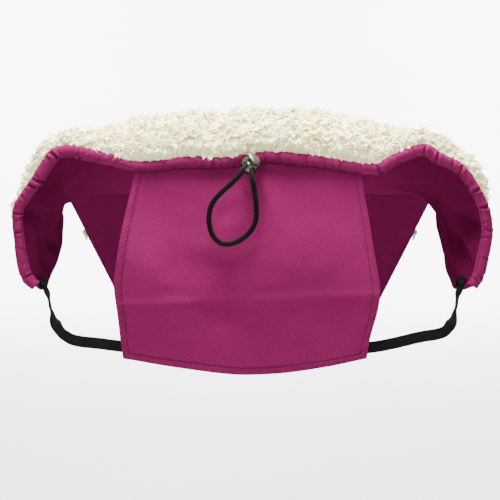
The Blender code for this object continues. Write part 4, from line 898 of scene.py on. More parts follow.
def make_tunnels():
    fine = softened(at_shares(rim_line(), np.linspace(0, 1, 1500)), 12)
    outward = rim_outward(softened(fine, 30))
    t = ring_turns(HEM_SIDES)[None, :]
    for name, side in SIDES:
        keep = side * fine[:, 0] > 0.0002
        line, out = fine[keep], outward[keep]
        along = lengths_along(line)
        from_middle = along[-1] - along if side < 0 else along
        u = from_middle[:, None]
        wrap = spots(u + 0.006 * np.cos(t) + side * 3.1, 0.0035 * np.cos(t), 0.0035 * np.sin(t))
        pinch = np.clip(1 - 3.2 * np.abs(value_noise(wrap, 70, 13)), 0, 1) ** 1.5
        broad = value_noise(wrap, 45, 15)
        swell = 1.10 + 0.10 * value_noise(spots(u, 0.0), 24, 17)
        crease = hem_creases(line, from_middle, t[0], 31 + side)
        grow = swell + (0.08 * broad - 0.12 * pinch - crease) * (0.3 + 0.7 * rise(u, 0.001, 0.008))
        seam = np.exp(-((np.cos(t) + 0.90) / 0.12) ** 2) * (t > math.pi)
        rings = tube_rings(line, out, np.tile(TOWARDS_FEET, (len(line), 1)), HEM_RADII[0] * grow - 0.0013 * seam,
                           HEM_RADII[1] * grow)
        rings[:, :, 0] += side * 0.0080 * np.clip(-np.sin(t), 0, 1) ** 1.4 * np.clip(1 - u / 0.022, 0, 1)
        tube_piece(f"rim_hem_{name}", rings, "canvas", replaces=(f"rim_tunnel_{name}",))
        # Dark stitches along the hem's inner side: real casing stitches, thick and dark so that they also give a
        # painted shadow line under the hem.
        place = round(HEM_STITCH_TURN / math.tau * HEM_SIDES)
        row = slice(30, -8) if side < 0 else slice(8, -30)
        away = unit(rings - rings.mean(axis=1, keepdims=True))
        stitches(f"rim_hem_stitching_painted_shadow_{name}", rings[row, place], away[row, place], pitch=0.0031, length=0.0027,
                 radius=0.00045)


make_tunnels()

# Back flap

FLAP_LEFT = ((0.0, -0.561), (0.16, -0.590), (0.26, -0.612), (0.40, -0.634), (0.55, -0.654), (0.62, -0.663),
             (0.70, -0.649), (0.80, -0.637), (0.90, -0.629), (1.0, -0.616))
FLAP_RIGHT = ((0.0, 0.541), (0.13, 0.561), (0.25, 0.580), (0.41, 0.600), (0.56, 0.624), (0.66, 0.631),
              (0.77, 0.612), (0.85, 0.588), (0.92, 0.576), (1.0, 0.567))
FLAP_BOTTOM = ((0.0, 0.912), (0.15, 0.945), (0.34, 0.978), (0.50, 1.0), (0.68, 0.985), (0.86, 0.950), (1.0, 0.912))
FLAP_LEAN = ((0.0, 0.0), (0.20, 0.36), (0.42, 0.77), (0.62, 1.0), (0.80, 0.95), (1.0, 0.76))
STRAP_HEIGHT = 0.1795
STRAP_CLEAR = 0.0155
FLAP_SIZE = (0.248, 0.198)
FLAP_HEM = 0.0082
FLAP_SEAM = FLAP_HEM - 0.0012


def smooth_table(rows, value):
    """The table's values with its corners eased."""
    keys = np.linspace(0, 1, 61)
    return np.interp(value, keys, softened(np.interp(keys, *zip(*rows)), 14))


def flap_surface(columns, rows):
    """The flap's camera side; columns and rows are shares across and down."""
    c, r = np.meshgrid(columns, rows)
    left, right = smooth_table(FLAP_LEFT, r), smooth_table(FLAP_RIGHT, r)
    x = (left + (right - left) * c) * FLAP_HEIGHT
    top = rim_height(x) - 0.0062
    z = top + (-FLAP_HEIGHT * smooth_table(FLAP_BOTTOM, c) - top) * r
    y = -0.021 * smooth_table(FLAP_LEAN, r) - 0.0018 * r * np.sin(math.pi * (3.2 * c + 0.9 * r))
    where = spots(x, y, z)
    pull = 0.0016 * np.exp(-r / 0.10) * value_noise(spots(x, 0.2 * z), 75, 31)
    crease = 0.0013 * np.exp(-((z + 0.128 - 0.010 * (c - 0.5)) / 0.0050) ** 2)
    slant = spots(x + 0.55 * z, 0.30 * z - 0.12 * x)
    ripple = 0.0062 * value_noise(slant, 19, 33) + 0.0018 * value_noise(where, 42, 36) * np.sin(math.pi * c)
    ripple *= 0.5 * smooth_step(r / 0.15) + 0.5 * rise(r, 0.3, 0.2)
    ripple += 0.00035 * value_noise(where, 90, 35)
    slack = 0.0024 * np.sin(math.pi * c) * np.sin(math.tau * (r * 1.3 + 0.3 * c))
    where[..., 1] += pull - crease + ripple + slack
    at_strap = fade(np.abs(z + STRAP_HEIGHT), 0.030, 0.016)
    where[..., 1] -= np.maximum(where[..., 1] + STRAP_CLEAR, 0.0) * at_strap
    return where


def make_flap():
    columns, rows = np.linspace(0, 1, 230), np.linspace(0, 1, 190)
    front = flap_surface(columns, rows)
    inside = np.minimum(np.minimum(columns, 1 - columns)[None, :] * FLAP_SIZE[0], (1 - rows)[:, None] * FLAP_SIZE[1])
    double = fade(inside, FLAP_HEM + 0.0008, 0.0012)
    groove = np.exp(-((inside - FLAP_SEAM) / 0.0009) ** 2)
    roll = rounded(inside + 0.0002, 0.0014)
    pucker = double * 0.00035 * np.sin(math.tau * (columns[None, :] * 46 + rows[:, None] * 38))
    front[..., 1] += pucker - 0.0012 * double * roll + 0.0011 * groove
    thick = (0.0009 + 0.0024 * double) * (0.35 + 0.65 * roll)
    piece = sheet_solid("flap_cloth", front + TOWARDS_FEET * thick[..., None], front, "canvas", body="flap",
                        replaces=("flap_panel", "flap_hem"))


def make_flap_stitches():
    inset_c, inset_r = FLAP_SEAM / FLAP_SIZE[0], FLAP_SEAM / FLAP_SIZE[1]
    down = np.linspace(0.012, 1 - inset_r, 150)
    over = np.linspace(inset_c, 1 - inset_c, 160)
    line = np.concatenate([flap_surface([inset_c], down)[:, 0], flap_surface(over, [1 - inset_r])[0, 1:-1],
                           flap_surface([1 - inset_c], down[::-1])[:, 0]])
    line[:, 1] -= 0.0004
    stitches("flap_stitching", line, np.tile(-TOWARDS_FEET, (len(line), 1)), "flap", 0.0031, 0.0027, 0.00036)


make_flap()
make_flap_stitches()

# Elastic strap

STRAP_SHARES = (
    (-0.859, 0.571, 0.211), (-0.844, 0.405, 0.407), (-0.829, 0.214, 0.569), (-0.802, -0.048, 0.724),
    (-0.743, -0.333, 0.846), (-0.633, -0.448, 0.894), (-0.506, -0.467, 0.951), (-0.253, -0.467, 0.992),
    (0.042, -0.467, 1.000), (0.338, -0.467, 0.984), (0.498, -0.467, 0.959), (0.591, -0.448, 0.902),
    (0.717, -0.400, 0.789), (0.810, -0.262, 0.732), (0.848, 0.000, 0.618), (0.869, 0.286, 0.423),
    (0.885, 0.571, 0.211),
)
STRAP_HALF_WIDTH = 0.00575


def sewn_end(side):
    """Where the strap lies on a wing's inner face, and the way across it."""
    grid = hood_grid(41, (0.0, 0.015, 0.030))
    inward = -grid_normals(grid)
    if side > 0:
        grid, inward = grid[:, ::-1], inward[:, ::-1]
    lie = grid + inward * 0.0014
    middle = (lie[1] + lie[2]) / 2
    points = []
    for column, lift in ((0.66, 0.0), (0.38, 0.0), (0.06, 0.0010)):
        points.append([np.interp(column, range(len(middle)), middle[:, k]) for k in range(3)] + inward[1, 1] * lift)
    return points, unit(lie[2, 1] - lie[1, 1])


def make_strap():
    middle = [(x * RIM_HALF_WIDTH, y * 0.021, -RIM_DROP - z * 0.0615) for x, y, z in STRAP_SHARES]
    (first, first_way), (last, last_way) = sewn_end(-1), sewn_end(1)
    line = smooth_curve(first + middle + last[::-1])
    line = softened(at_shares(line, np.linspace(0, 1, 420)), 14)
    share = (lengths_along(line) / lengths_along(line)[-1])[:, None]
    near = np.minimum(share, 1 - share)
    turn, free = rise(near, 0.055, 0.075) * math.pi / 2, rise(near, 0.020, 0.035)
    tangent = unit(np.gradient(line, axis=0))
    wide = spots(0.0, np.cos(turn), np.sin(turn))[:, 0] * free + np.where(share < 0.5, first_way, last_way) * (1 - free)
    wide = unit(wide - tangent * (wide * tangent).sum(axis=1, keepdims=True))
    face = np.cross(tangent, wide)[:, None, :]
    half = np.linspace(-1, 1, 9)[None, :, None]
    row = line[:, None, :] + half * STRAP_HALF_WIDTH * wide[:, None, :] + face * 0.0003 * np.sin(share * 260)[..., None]
    crown = (0.0005 + 0.00015 * (1 - half**2)) * face
    front, back = row + crown, row - crown
    sheet_solid("elastic_strap_webbing", back, front, "elastic", replaces=("elastic_strap",))
    for (name, _), part in zip(SIDES, (slice(1, 7), slice(-7, -1))):
        rows = front[part], back[part]
        outer = rows[0] if (rows[0] - rows[1])[0, 4, 0] * rows[0][0, 4, 0] < 0 else rows[1]
        lift = unit(outer - (rows[0] + rows[1]) / 2)
        sheet_solid(f"strap_bar_tack_{name}", outer + lift * 0.0003, outer + lift * 0.0012, "elastic",
                    replaces=(f"strap_stitch_{name}",))


make_strap()

# Back panel, cover, collar and foot

COVER_INSET = 0.0142
COVER_THIN_SHARE = 0.032
COVER_FULL_SHARE = 0.145
COVER_GIRTH = 0.56
COLLAR_LENGTH = 0.102
COLLAR_SIDE_SHARE = 0.225
SLOT_HALF_LENGTH = 0.022
SLOT_HALF_OPENING = 0.005
SLOTS = {"shoulder_left": (-0.065, 0.310), "shoulder_right": (0.065, 0.310), "waist_left": (-0.095, 0.505),
         "waist_right": (0.095, 0.505), "crotch": (0.0, 0.560)}
SLOT_STRAIGHT = SLOT_HALF_LENGTH - SLOT_HALF_OPENING
CLOTH_FRAMES = 22
COVER_SLACK = 0.035
COVER_PRESSURE = 3.0
COVER_SWELL = 0.009
COVER_DIP = 0.0030
ROLL_STEPS = 24
ROLL_REACH = 0.006
PIPING_RADIUS = 0.0016
PIPING_SIDES = 12


def on_slope(x, y, height):
    """Points a given height above the slope, measured along its normal."""
    x, y, height = np.broadcast_arrays(x, y, height)
    return np.stack([x, y, body_height(y)], axis=-1) + height[..., None] * UP


def resampled(values, rows, columns):
    """A grid's values at other numbers of rows and columns, along the same shares."""
    def spread(count, new):
        places = np.linspace(0, count - 1, new)
        first = np.minimum(places.astype(int), count - 2)
        return first, 0.5 * smooth_step(places - first) + 0.5 * (places - first)

    (i, f), (j, g) = spread(values.shape[0], rows), spread(values.shape[1], columns)
    i, j, f, g = i[:, None], j[None, :], f[:, None], g[None, :]
    return ((values[i, j] * (1 - g) + values[i, j + 1] * g) * (1 - f)
            + (values[i + 1, j] * (1 - g) + values[i + 1, j + 1] * g) * f)


def draped(grid, outward, held, slack, pressure, cap):
    """How far each point of a padded sheet swells or wrinkles, from a cloth simulation of its slack cloth.

    The held points stay. The cloth is larger than its frame by the slack share, and the padding pushes it out.
    """
    mesh = bpy.data.meshes.new("slack_cloth")
    jitter = 0.0006 * value_noise(grid, 55, 97)
    mesh.from_pydata((grid + outward * jitter[..., None]).reshape(-1, 3).tolist(), [],
                     grid_faces(*grid.shape[:2]).tolist())
    thing = add_object("slack_cloth", mesh)
    pins = thing.vertex_groups.new(name="held")
    pins.add(np.flatnonzero(held.ravel()).tolist(), 1.0, "REPLACE")
    cloth = thing.modifiers.new("cloth", "CLOTH")
    have = cloth.settings
    have.vertex_group_mass = "held"
    have.quality = 6
    have.mass = 0.15
    have.tension_stiffness = have.compression_stiffness = 18
    have.shear_stiffness = 8
    have.bending_stiffness = 0.35
    have.tension_damping = have.compression_damping = 12
    have.air_damping = 4
    have.shrink_min = have.shrink_max = -slack
    have.use_pressure = True
    have.uniform_pressure_force = pressure
    have.effector_weights.gravity = 0.0
    cloth.collision_settings.use_collision = False
    cloth.point_cache.frame_start, cloth.point_cache.frame_end = 1, CLOTH_FRAMES
    scene = bpy.context.scene
    for number in range(1, CLOTH_FRAMES + 1):
        scene.frame_set(number)
    seen = thing.evaluated_get(bpy.context.evaluated_depsgraph_get())
    moved = np.zeros(grid.size, np.float32)
    seen.data.vertices.foreach_get("co", moved)
    swell = ((moved.reshape(grid.shape) - grid) * outward).sum(axis=2)
    scene.frame_set(1)
    bpy.data.objects.remove(thing)
    bpy.data.meshes.remove(mesh)
    return cap * np.tanh(swell / cap)


def cover_arch(y):
    base = EDGE_TOP + 0.0003
    crown = BACK_TOP + 0.040 + 0.042 * float(smooth_step((y - COVER_START) / (BODY_END - COVER_START) * 1.3))
    across, up = squared_arch(2.7, half_width(y) - COVER_INSET, 481)
    return np.stack([across, base + (crown - base) * up], axis=1)


def cover_thick(shares):
    side = np.minimum(shares, 1 - shares)
    return 0.5 + 0.5 * rise(side, COVER_THIN_SHARE, COVER_FULL_SHARE - COVER_THIN_SHARE)


def cover_level(shares):
    """Height of the cover's outer face over its inner one."""
    return FULL * cover_thick(shares) + 2 * LAYER_GAP + SHELL


def cover_grid(places, shares):
    """The cover's inner face, and the way outwards, at places along the bag."""
    base, out = [], []
    for y in places:
        arch = at_shares(cover_arch(float(np.clip(y, COVER_START, BODY_END))), shares)
        tangent = unit(np.gradient(arch, axis=0))
        base.append(on_slope(arch[:, 0], y, arch[:, 1]))
        out.append(np.outer(-tangent[:, 1], (1.0, 0.0, 0.0)) + np.outer(tangent[:, 0], UP))
    return np.array(base), unit(np.array(out))


def round_the_slots(x, y, rim, reach):
    """Places moved onto the slots' outlines where they lie close, and how far outside they are."""
    x, y = np.array(x, float), np.array(y, float)
    outside = np.full(x.shape, 9.0)
    for sx, sy in SLOTS.values():
        ax, ay = x - sx - np.clip(x - sx, -SLOT_STRAIGHT, SLOT_STRAIGHT), y - sy
        far = np.maximum(np.hypot(ax, ay), 1e-9)
        gap = far - SLOT_HALF_OPENING - rim
        near = (np.abs(gap) < reach) & (far > 1e-6)
        x, y = np.where(near, x - ax / far * gap, x), np.where(near, y - ay / far * gap, y)
        outside = np.minimum(outside, np.where(near, 0.0, gap))
    return x, y, outside


def cells_outside(outside):
    corner = np.stack([outside[:-1, :-1], outside[1:, :-1], outside[:-1, 1:], outside[1:, 1:]])
    return corner.max(axis=0) > 1e-6


def make_back_canvas():
    """The underside, turned up along both sides to the zips."""
    turned = np.linspace(EDGE_TOP - 0.0006, 0.003, 8)
    across = np.concatenate([-np.ones(8), np.linspace(-1, 1, 150), np.ones(8)])
    climb = np.concatenate([turned, np.zeros(150), turned[::-1]])
    s, y = np.meshgrid(across, np.linspace(HOOD_DEPTH + 0.0003, BODY_END - 0.0004, 250))
    b = np.broadcast_to(climb, s.shape)
    x = s * (half_width(y) - 0.0008 * (b < 0.004))
    x2, y2, outside = round_the_slots(x, y, 0.0022, 0.0017)
    flat = b < 0.0001
    x, y = np.where(flat, x2, x), np.where(flat, y2, y)
    where = spots(x, y)
    slots_near = np.exp(-np.clip(outside, 0, 1) / 0.012)
    fold = 0.0022 * value_noise(where * (1.0, 0.6, 1.0), 16, 41) + 0.0008 * value_noise(where, 60, 43)
    fold += 0.0010 * slots_near * value_noise(where, 140, 44)
    free = smooth_step((1 - np.abs(s)) / 0.12) * rise(y, HOOD_DEPTH, 0.02) * fade(y, BODY_END, 0.02)
    drop = (0.0012 + fold) * free * (1 - np.exp(-np.clip(outside, 0, 1) / 0.006))
    outer = on_slope(x, y, b) - UP * drop[..., None]
    lift = 0.0009 * (spots(-np.sign(s) * (b > 0.0001), 0.0) + (b < 0.004)[..., None] * UP)
    # The underside takes the canvas darkened by painted shade.
    canvas("back", outer, outer + lift, "canvas_painted_shade_under", 0.4, keep=cells_outside(outside))


def make_back_fleece():
    places = np.concatenate([np.linspace(HOOD_DEPTH + 0.0004, 0.475, 86),
                             np.linspace(0.475, BODY_END - 0.024, 80)[1:]])
    s, y = np.meshgrid(np.linspace(-1, 1, 158), places)
    width = half_width(y) - 0.0022
    x = s * width
    edge_gap = width - np.abs(x)
    x, y, outside = round_the_slots(x, y, 0.0018, 0.0016)
    height = FULL * (0.5 + 0.5 * rise(edge_gap, 0.018, 0.009))
    tuft = fleece_height(on_slope(x, y, height), 51)
    hug = 1 - 0.75 * np.exp(-np.clip(outside, 0, 1) / 0.005)
    under = rise(edge_gap, 0.014, 0.012)
    high = on_slope(x, y, SHELL + (height + (tuft - 0.0012) * under * hug - 0.0018 * (1 - under)))
    fleece("back", on_slope(x, y, 0.0016), high, tuft, keep=cells_outside(outside))
    open_part = (places < 0.46)[:, None] & (outside > 0.009) & (np.abs(s) < 0.93)
    locks("back_fleece_locks", high, open_part, 0.0095, 8)


def make_slot_bindings():
    """Woven tape turned over the edge of each slot, with a flange on both faces."""
    lip, wall = 0.0052, 0.0012
    top = BACK_TOP + 0.0006
    section = np.array([(0.0, 0.0), (0.0, top - 0.0006), (0.0004, top + 0.0004), (0.0012, top + 0.0008),
                        (lip, top + 0.0004), (lip + 0.0004, top - 0.0004), (lip, top - 0.0010), (wall, top - 0.0012),
                        (wall, 0.0010), (lip, 0.0008), (lip + 0.0004, -0.0002), (lip, -0.0012), (0.0012, -0.0016),
                        (0.0004, -0.0012)])
    half = [(SLOT_STRAIGHT, math.cos(t), math.sin(t)) for t in np.linspace(-math.pi / 2, math.pi / 2, 15)]
    half += [(x, 0.0, 1.0) for x in np.linspace(SLOT_STRAIGHT, -SLOT_STRAIGHT, 16)[1:-1]]
    outline = np.array(half + [(-x, -out_x, -out_y) for x, out_x, out_y in half])[:, :, None]
    out = SLOT_HALF_OPENING + section[None, :, 0]
    across, along = outline[:, 0] + outline[:, 1] * out, outline[:, 2] * out
    for name, (x, y) in SLOTS.items():
        tube_piece(f"slot_tape_{name}", on_slope(x + across, y + along, section[None, :, 1]), "binding", looped=True,
                   girth=lengths_along(section), replaces=(f"slot_binding_{name}",))


def under_collar(shares, y):
    """1 where the folded collar lies on the cover, falling to 0 round it."""
    beside = rise(np.minimum(shares, 1 - shares), COLLAR_SIDE_SHARE - 0.10, 0.08)
    return beside * fade(y, COVER_START + COLLAR_LENGTH + 0.055, 0.045)


def cover_outer(places, shares, above=0.0):
    """The cover's outer face with its folds, and the way outwards; above is a height over the cloth."""
    y = np.clip(places, COVER_START, BODY_END)
    base, out = cover_grid(y, shares)
    y = y[:, None]
    side = np.minimum(shares, 1 - shares)[None, :] * COVER_GIRTH
    spot = spots(shares[None, :] * COVER_GIRTH, y)
    free = smooth_step(side / 0.05) * fade(y, BODY_END, 0.03) * rise(y, COVER_START, 0.03)
    broad = 0.0026 * value_noise(spot * (1.0, 0.7, 1.0), 10, 61) + 0.0012 * value_noise(spot, 28, 63)
    pucker = 0.0010 * np.exp(-side / 0.020) * value_noise(spot * (0.25, 1.0, 1.0), 110, 65)
    pull = 0.0012 * np.exp(-(BODY_END - y) / 0.030) * value_noise(spot * (1.0, 0.3, 1.0), 90, 67)
    fold = broad * free * (1 - under_collar(shares[None, :], y))
    fold += (pucker + pull) * fade(y, BODY_END, 0.004) * smooth_step(side / 0.006)
    return base + out * (cover_level(shares) + above + fold)[:, :, None], out


def make_cover():
    shares = np.linspace(0, 1, 236)
    body = np.linspace(COVER_START + 0.001, BODY_END - 0.0004, 168)
    face, out = cover_outer(body, shares)
    rough_body, rough_shares = np.linspace(body[0], body[-1], 74), np.linspace(0, 1, 84)
    rough, rough_out = cover_outer(rough_body, rough_shares)
    held = under_collar(rough_shares[None, :], rough_body[:, None]) > 0.5
    held[:2], held[-3:], held[:, :3], held[:, -3:] = True, True, True, True
    swell = np.maximum(draped(rough, rough_out, held, COVER_SLACK, COVER_PRESSURE, COVER_SWELL), -COVER_DIP)
    face = face + out * resampled(swell, *face.shape[:2])[..., None]
    inner = cover_grid(body[:1], shares)[0][0]
    roll = []
    for k in range(ROLL_STEPS):
        t = math.pi * (1 - k / ROLL_STEPS)
        up = (1 + math.cos(t)) / 2
        if k < ROLL_STEPS // 2:
            edge = inner + out[0] * cover_level(shares)[:, None] * (0.04 + 0.48 * up)
        else:
            edge = inner * (1 - up) + face[0] * up
        roll.append(edge - DOWN_SLOPE * ROLL_REACH * math.sin(t))
    top = np.concatenate([np.array(roll), face])
    normal = grid_normals(top)
    outward = np.concatenate([np.repeat(out[:1], len(roll), axis=0), out])
    sink = CANVAS_THICKNESS * normal * np.sign((normal * outward).sum(axis=2).mean())
    canvas("cover", top - sink, top, "canvas", 0.7)
    shares = np.linspace(0.004, 0.996, 150)
    places = np.concatenate([np.linspace(COVER_START + 0.0015, COVER_START + 0.10, 38),
                             np.linspace(COVER_START + 0.10, BODY_END - 0.0250, 90)[1:]])
    base, out = cover_grid(places, shares)
    tuft = fleece_height(base, 71) * rise(places, COVER_START, 0.008)[:, None]
    high = base + out * (FULL * cover_thick(shares) - 0.0036)[None, :, None]
    fleece("cover", base + out * (0.0044 - tuft)[:, :, None], high, tuft)


def make_collar():
    """The top of the cover, folded down on it with the sherpa outside."""
    shares = np.linspace(COLLAR_SIDE_SHARE, 1 - COLLAR_SIDE_SHARE, 190)
    places = np.linspace(COVER_START - 0.0035, COVER_START + COLLAR_LENGTH, 80)
    base, out = cover_grid(places, shares)
    along = (places - places[0])[:, None]
    wave = 0.004 * value_noise(spots(shares * COVER_GIRTH, 0.0), 22, 83)[None, :]
    base = base + DOWN_SLOPE * (wave * smooth_step(along / 0.10) - 0.001)[:, :, None]
    side = (np.minimum(shares, 1 - shares) - COLLAR_SIDE_SHARE)[None, :] * COVER_GIRTH
    edge = rounded(side + 0.0006, 0.012) * rounded(along[::-1] + 0.0006, 0.012) * rounded(along + 0.0006, 0.012)
    under = base + out * (cover_level(shares) + 0.0009 + 0.0040 * (1 - edge))[:, :, None]
    # The collar's under layer takes the canvas darkened by painted shade.
    canvas("collar", under, under + out * 0.0013, "canvas_painted_shade_inside", 0.3, body="collar")
    height = 0.0015 + (FULL - 0.0025) * edge + 0.0010 * value_noise(base, 30, 81)
    tuft = fleece_height(base + out * height[:, :, None], 85)
    low = under + out * 0.0016
    top = low + out * (height + tuft * edge)[:, :, None]
    fleece("collar", low, top, tuft, body="collar")
    locks("collar_fleece_locks", top, (along > 0.004) & (side > 0.003), 0.0095, 9, body="collar")


def foot_outline(count):
    """The bag's outer section at the foot end, as x and height above the slope."""
    shares = np.linspace(0, 1, 200)
    arch = at_shares(cover_arch(BODY_END), shares)
    tangent = unit(np.gradient(arch, axis=0))
    outer = arch + np.stack([-tangent[:, 1], tangent[:, 0]], axis=1) * cover_level(shares)[:, None]
    width = half_width(BODY_END)
    corner = [(width, EDGE_TOP), (width, 0.0040), (width - 0.0012, 0.0012), (width - 0.004, 0.0)]
    low = corner + [(x, 0.0) for x in np.linspace(width - 0.012, 0.012 - width, 40)]
    low += [(-x, z) for x, z in corner[::-1]]
    return at_shares(np.concatenate([outer, low, outer[:1]]), np.linspace(0, 1, count, endpoint=False))


def make_foot():
    line = foot_outline(300)
    centre = np.array((0.0, line[:, 1].mean()))
    turn = np.arctan2(line[:, 1] - centre[1], line[:, 0])
    radial = value_noise(spots(np.cos(turn), np.sin(turn)) * 0.2, 90, 91)
    outer = []
    for scale in np.concatenate([np.linspace(1.0, 0.93, 8), np.linspace(0.93, 0.05, 34)[1:]]):
        spot = centre + (line - centre) * scale
        swell = 0.0055 * (1 - scale ** 5) + 0.0010 * radial * np.exp(-(1 - scale) / 0.12) * (scale < 0.999)
        swell += 0.0012 * value_noise(spots(spot[:, 0], spot[:, 1]), 30, 93) * (1 - scale ** 8) + 0.0002
        outer.append(on_slope(spot[:, 0], BODY_END, spot[:, 1]) + DOWN_SLOPE * swell[:, None])
    outer = np.array(outer)
    rings = np.concatenate([(outer - DOWN_SLOPE * CANVAS_THICKNESS)[::-1], outer])
    tube_piece("foot_canvas", rings, "canvas", uv=rings.reshape(-1, 3)[:, [0, 2]], replaces=("foot_shell",), fill=0.6)
    path = on_slope(line[:, 0], BODY_END + 0.0002, line[:, 1])
    out = unit(path - on_slope(centre[0], BODY_END, centre[1]))
    share = (lengths_along(path) / lengths_along(path)[-1])[:, None]
    wide = PIPING_RADIUS + 0.0001 * np.sin(share * 900) + np.zeros(PIPING_SIDES)
    rings = tube_rings(path, out, np.tile(DOWN_SLOPE, (len(path), 1)), wide, np.full(wide.shape, PIPING_RADIUS))
    tube_piece("foot_piping", rings, "binding", looped=True, girth=np.arange(PIPING_SIDES) * 0.0008)
    arch = at_shares(cover_arch(BODY_END), np.linspace(0.02, 0.98, 90))
    arch = arch[arch[:, 1] > BACK_TOP + 0.002]
    floor = BACK_TOP + 0.001
    up = floor + (arch[:, 1] - floor) * (0.02 + 0.965 * np.linspace(0.0, 1.0, 34)[:, None])
    far = on_slope(arch[:, 0] * 0.985, BODY_END - 0.002, up)
    tuft = fleece_height(far, 95)
    fleece("foot", far - DOWN_SLOPE * (0.0195 + tuft)[..., None], far, tuft)


make_back_canvas()
make_back_fleece()
make_slot_bindings()
make_cover()
make_collar()
make_foot()

# Side zips

ZIP_LENGTH_MARGINS = (0.004, 0.012)
ZIP_FLANGE = 0.011
TOOTH_PITCH = 0.0026
TOOTH_PROFILE = ((-0.00060, 0.0033), (-0.00060, 0.0012), (-0.00036, 0.0006), (-0.00060, 0.0), (-0.00040, -0.0007),
                 (0.00040, -0.0007), (0.00060, 0.0), (0.00036, 0.0006), (0.00060, 0.0012), (0.00060, 0.0033))
TOOTH_LEVELS = ((-0.0015, 0.80, 0.92), (-0.0012, 1.0, 1.0), (0.0012, 1.0, 1.0), (0.0015, 0.80, 0.92))
TOOTH_MIDDLE = 0.0038
TOOTH_ROOT = 0.0013
HALVES = (("back", -1), ("cover", 1))


def zip_frame(side):
    places = (COVER_START + ZIP_LENGTH_MARGINS[0], BODY_END - ZIP_LENGTH_MARGINS[1])
    ends = [np.array((side * half_width(y), y, body_height(y))) for y in places]
    along = ends[1] - ends[0]
    length = float(np.linalg.norm(along))
    along = along / length
    return ends[0] + UP * (EDGE_TOP + 0.00015), np.cross(UP, along) * -side, along, length


def make_zip_tape(name, side, half, sign):
    start, outward, along, length = zip_frame(side)
    section = [(0.0003, ZIP_FLANGE), (0.0003, 0.0085), (0.0003, 0.0068), (0.0012, 0.0060), (0.0026, 0.0054),
               (0.0034, 0.0048), (0.0036, 0.0036), (0.0036, 0.0020), (0.0036, 0.0009)]
    section = smooth_curve([(a, b, 0.0) for a, b in section], 3)
    place = np.linspace(0.0, length, 260)[:, None, None]
    out, up = section[None, :, :1], section[None, :, 1:2]
    ripple = 0.00035 * np.sin(place * 300) * np.clip((up - 0.006) / 0.005, 0, 1)
    row = start + along * place + (out + 0.0004 + ripple) * outward + sign * up * UP
    sheet_solid(f"zip_tape_{half}_{name}", row - outward * 0.0003, row + outward * 0.0004, "zip_tape",
                replaces=(f"zip_{half}_{name}",))


def make_teeth(name, side, half, sign):
    start, outward, along, length = zip_frame(side)
    count = int((length - 0.004) / TOOTH_PITCH)
    places = 0.002 + (np.arange(count) + (0.5 if sign > 0 else 0.0)) * TOOTH_PITCH
    tooth = np.array([[along * a * wide + UP * sign * (TOOTH_ROOT + (b - TOOTH_ROOT) * tall)
                       + outward * (TOOTH_MIDDLE + level) for a, b in TOOTH_PROFILE]
                      for level, wide, tall in TOOTH_LEVELS])
    points = (start + np.outer(places, along))[:, None, None, :] + tooth
    many_tubes(f"zip_teeth_{half}_{name}", points, "zip_teeth", smooth=False)


for name, side in SIDES:
    for half, sign in HALVES:
        make_zip_tape(name, side, half, sign)
        make_teeth(name, side, half, sign)

# Stitched seams

COVER_SEAM = 0.010


def seam_on_cover(name, places, shares):
    """Topstitching over the cover along matching places and shares."""
    rows = []
    for y, share in zip(places, shares):
        span = np.clip(np.array((share - 0.002, share, share + 0.002)), 0.0, 1.0)
        face, out = cover_outer(np.array([y]), span, 0.0002)
        rows.append((face[0, 1], out[0, 1]))
    line, normals = np.array(rows).transpose(1, 0, 2)
    stitches(name, line, normals)


def make_seams():
    down = np.linspace(COVER_START + 0.012, BODY_END - COVER_SEAM, 90)
    for name, share in (("left", 0.020), ("right", 0.980)):
        seam_on_cover(f"cover_stitching_{name}", down, np.full(len(down), share))
    over = np.linspace(0.02, 0.98, 120)
    seam_on_cover("cover_stitching_foot", np.full(len(over), BODY_END - COVER_SEAM), over)
    for name, side in SIDES:
        start, outward, along, length = zip_frame(side)
        for half, sign in HALVES:
            line = start + np.outer(np.linspace(0.003, length - 0.003, 80), along)
            line = line + outward * 0.0013 + UP * sign * 0.0090
            stitches(f"zip_stitching_{half}_{name}", line, np.tile(outward, (len(line), 1)))


make_seams()

# Tape end under the right wing


def make_tab():
    """A short end of folded tape, sewn inside the wing's lower edge."""
    low, high = (np.array(corner, float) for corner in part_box("tape_end_right"))
    t, h = np.meshgrid(np.linspace(-0.5, 0.5, 12), np.linspace(0.5, -0.5, 9), indexing="ij")
    size = (high - low) * 0.96
    face = (low + high) / 2 + spots(0.0003 * np.sin(t * 7) + 0.0004 * h, t * size[1], h * size[2])
    half = np.array((0.0007, 0.0, 0.0))
    sheet_solid("tape_end", face + half, face - half, "elastic", replaces=("tape_end_right",))


make_tab()

# Hard parts keep their solids and get their finishes


def finish_solid(node, shade, bevel=0.0):
    thing = NODES[node]
    thing.data.materials.clear()
    thing.data.materials.append(SHADES[shade][0])
    if bevel:
        worn = thing.modifiers.new("worn_edges", "BEVEL")
        worn.width = bevel
        worn.segments = 2
        worn.limit_method = "ANGLE"
        worn.angle_limit = math.radians(35)


for name, _ in SIDES:
    for part, bevel in (("slider", 0.00022), ("pull", 0.00018), ("stop", 0.0003)):
        finish_solid(f"zip_{part}_{name}", "metal", bevel)
finish_solid("cord_lock_housing", "nickel", 0.0002)
finish_solid("cord_lock_button", "nickel", 0.0001)
finish_solid("cord_lock_spring", "steel")

# Floor, light and world

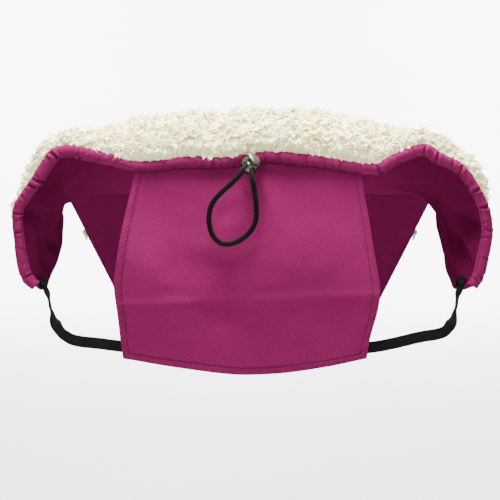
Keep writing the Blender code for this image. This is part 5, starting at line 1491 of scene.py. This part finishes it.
WALL = 6.4
WALL_HEIGHT = 7.0
WALL_TURN = 1.5
FLOOR_REACH = 12.0
FLOOR_DROP = 0.42
WORLD_STRENGTH = 0.15
LIGHTS = {  # place, aim, size and power
    "top": ((0.05, 0.02, 0.95), (0, 0.06, 0), (1.0, 0.5), 104),
    "key": ((-0.7, -2.0, 1.15), (0, 0, -0.08), (0.6, 0.6), 26),
    "low": ((0.3, -2.2, -0.45), (0, 0, -0.16), (1.2, 0.4), 6),
    "side_left": ((-1.7, -0.6, 0.9), (0, 0, -0.05), (0.6, 0.6), 12),
    "side_right": ((1.7, -0.6, 0.9), (0, 0, -0.05), (0.6, 0.6), 10),
    "backdrop_left": ((-2.0, WALL - 1.6, 2.1), (-0.7, WALL, 0.1), (1.6, 1.0), 520),
    "backdrop_right": ((2.0, WALL - 1.6, 2.1), (0.7, WALL, 0.1), (1.6, 1.0), 520),
    "floor": ((0.0, 2.0, 2.2), (0, 2.6, -0.7), (2.4, 1.2), 170),
}


def make_stage():
    low = cad_low.z - FLOOR_DROP
    profile = [(-FLOOR_REACH, low), (WALL - WALL_TURN, low)]
    for turn in np.linspace(0, math.pi / 2, 13)[1:].tolist():
        profile.append((WALL - WALL_TURN * (1 - math.sin(turn)), low + WALL_TURN * (1 - math.cos(turn))))
    profile.append((WALL, WALL_HEIGHT))
    mesh = bpy.data.meshes.new("floor")
    mesh.from_pydata([(x, y, z) for y, z in profile for x in (-FLOOR_REACH, FLOOR_REACH)], [],
                     [(2 * k, 2 * k + 1, 2 * k + 3, 2 * k + 2) for k in range(len(profile) - 1)])
    mesh.shade_smooth()
    shade = Shade("floor_paper")
    tone = shade.ramp(shade.noise(3, 2.0), ((0.3, (0.90, 0.90, 0.90)), (0.7, (0.92, 0.92, 0.92))))
    mesh.materials.append(shade.finished((), Base_Color=tone, Roughness=0.9, Specular_IOR_Level=0.2))
    add_object("floor", mesh)


def make_light():
    world = bpy.data.worlds.new("studio")
    world.use_nodes = True
    background = world.node_tree.nodes["Background"]
    background.inputs[0].default_value = (1.0, 1.0, 1.0, 1.0)
    background.inputs[1].default_value = WORLD_STRENGTH
    bpy.context.scene.world = world
    for name, (place, aim, size, power) in LIGHTS.items():
        data = bpy.data.lights.new(name, "AREA")
        data.shape = "RECTANGLE"
        data.size, data.size_y = size
        data.energy = power
        thing = add_object(name, data)
        thing.location = place
        thing.rotation_euler = (Vector(aim) - Vector(place)).to_track_quat("-Z", "Y").to_euler()


make_stage()
make_light()
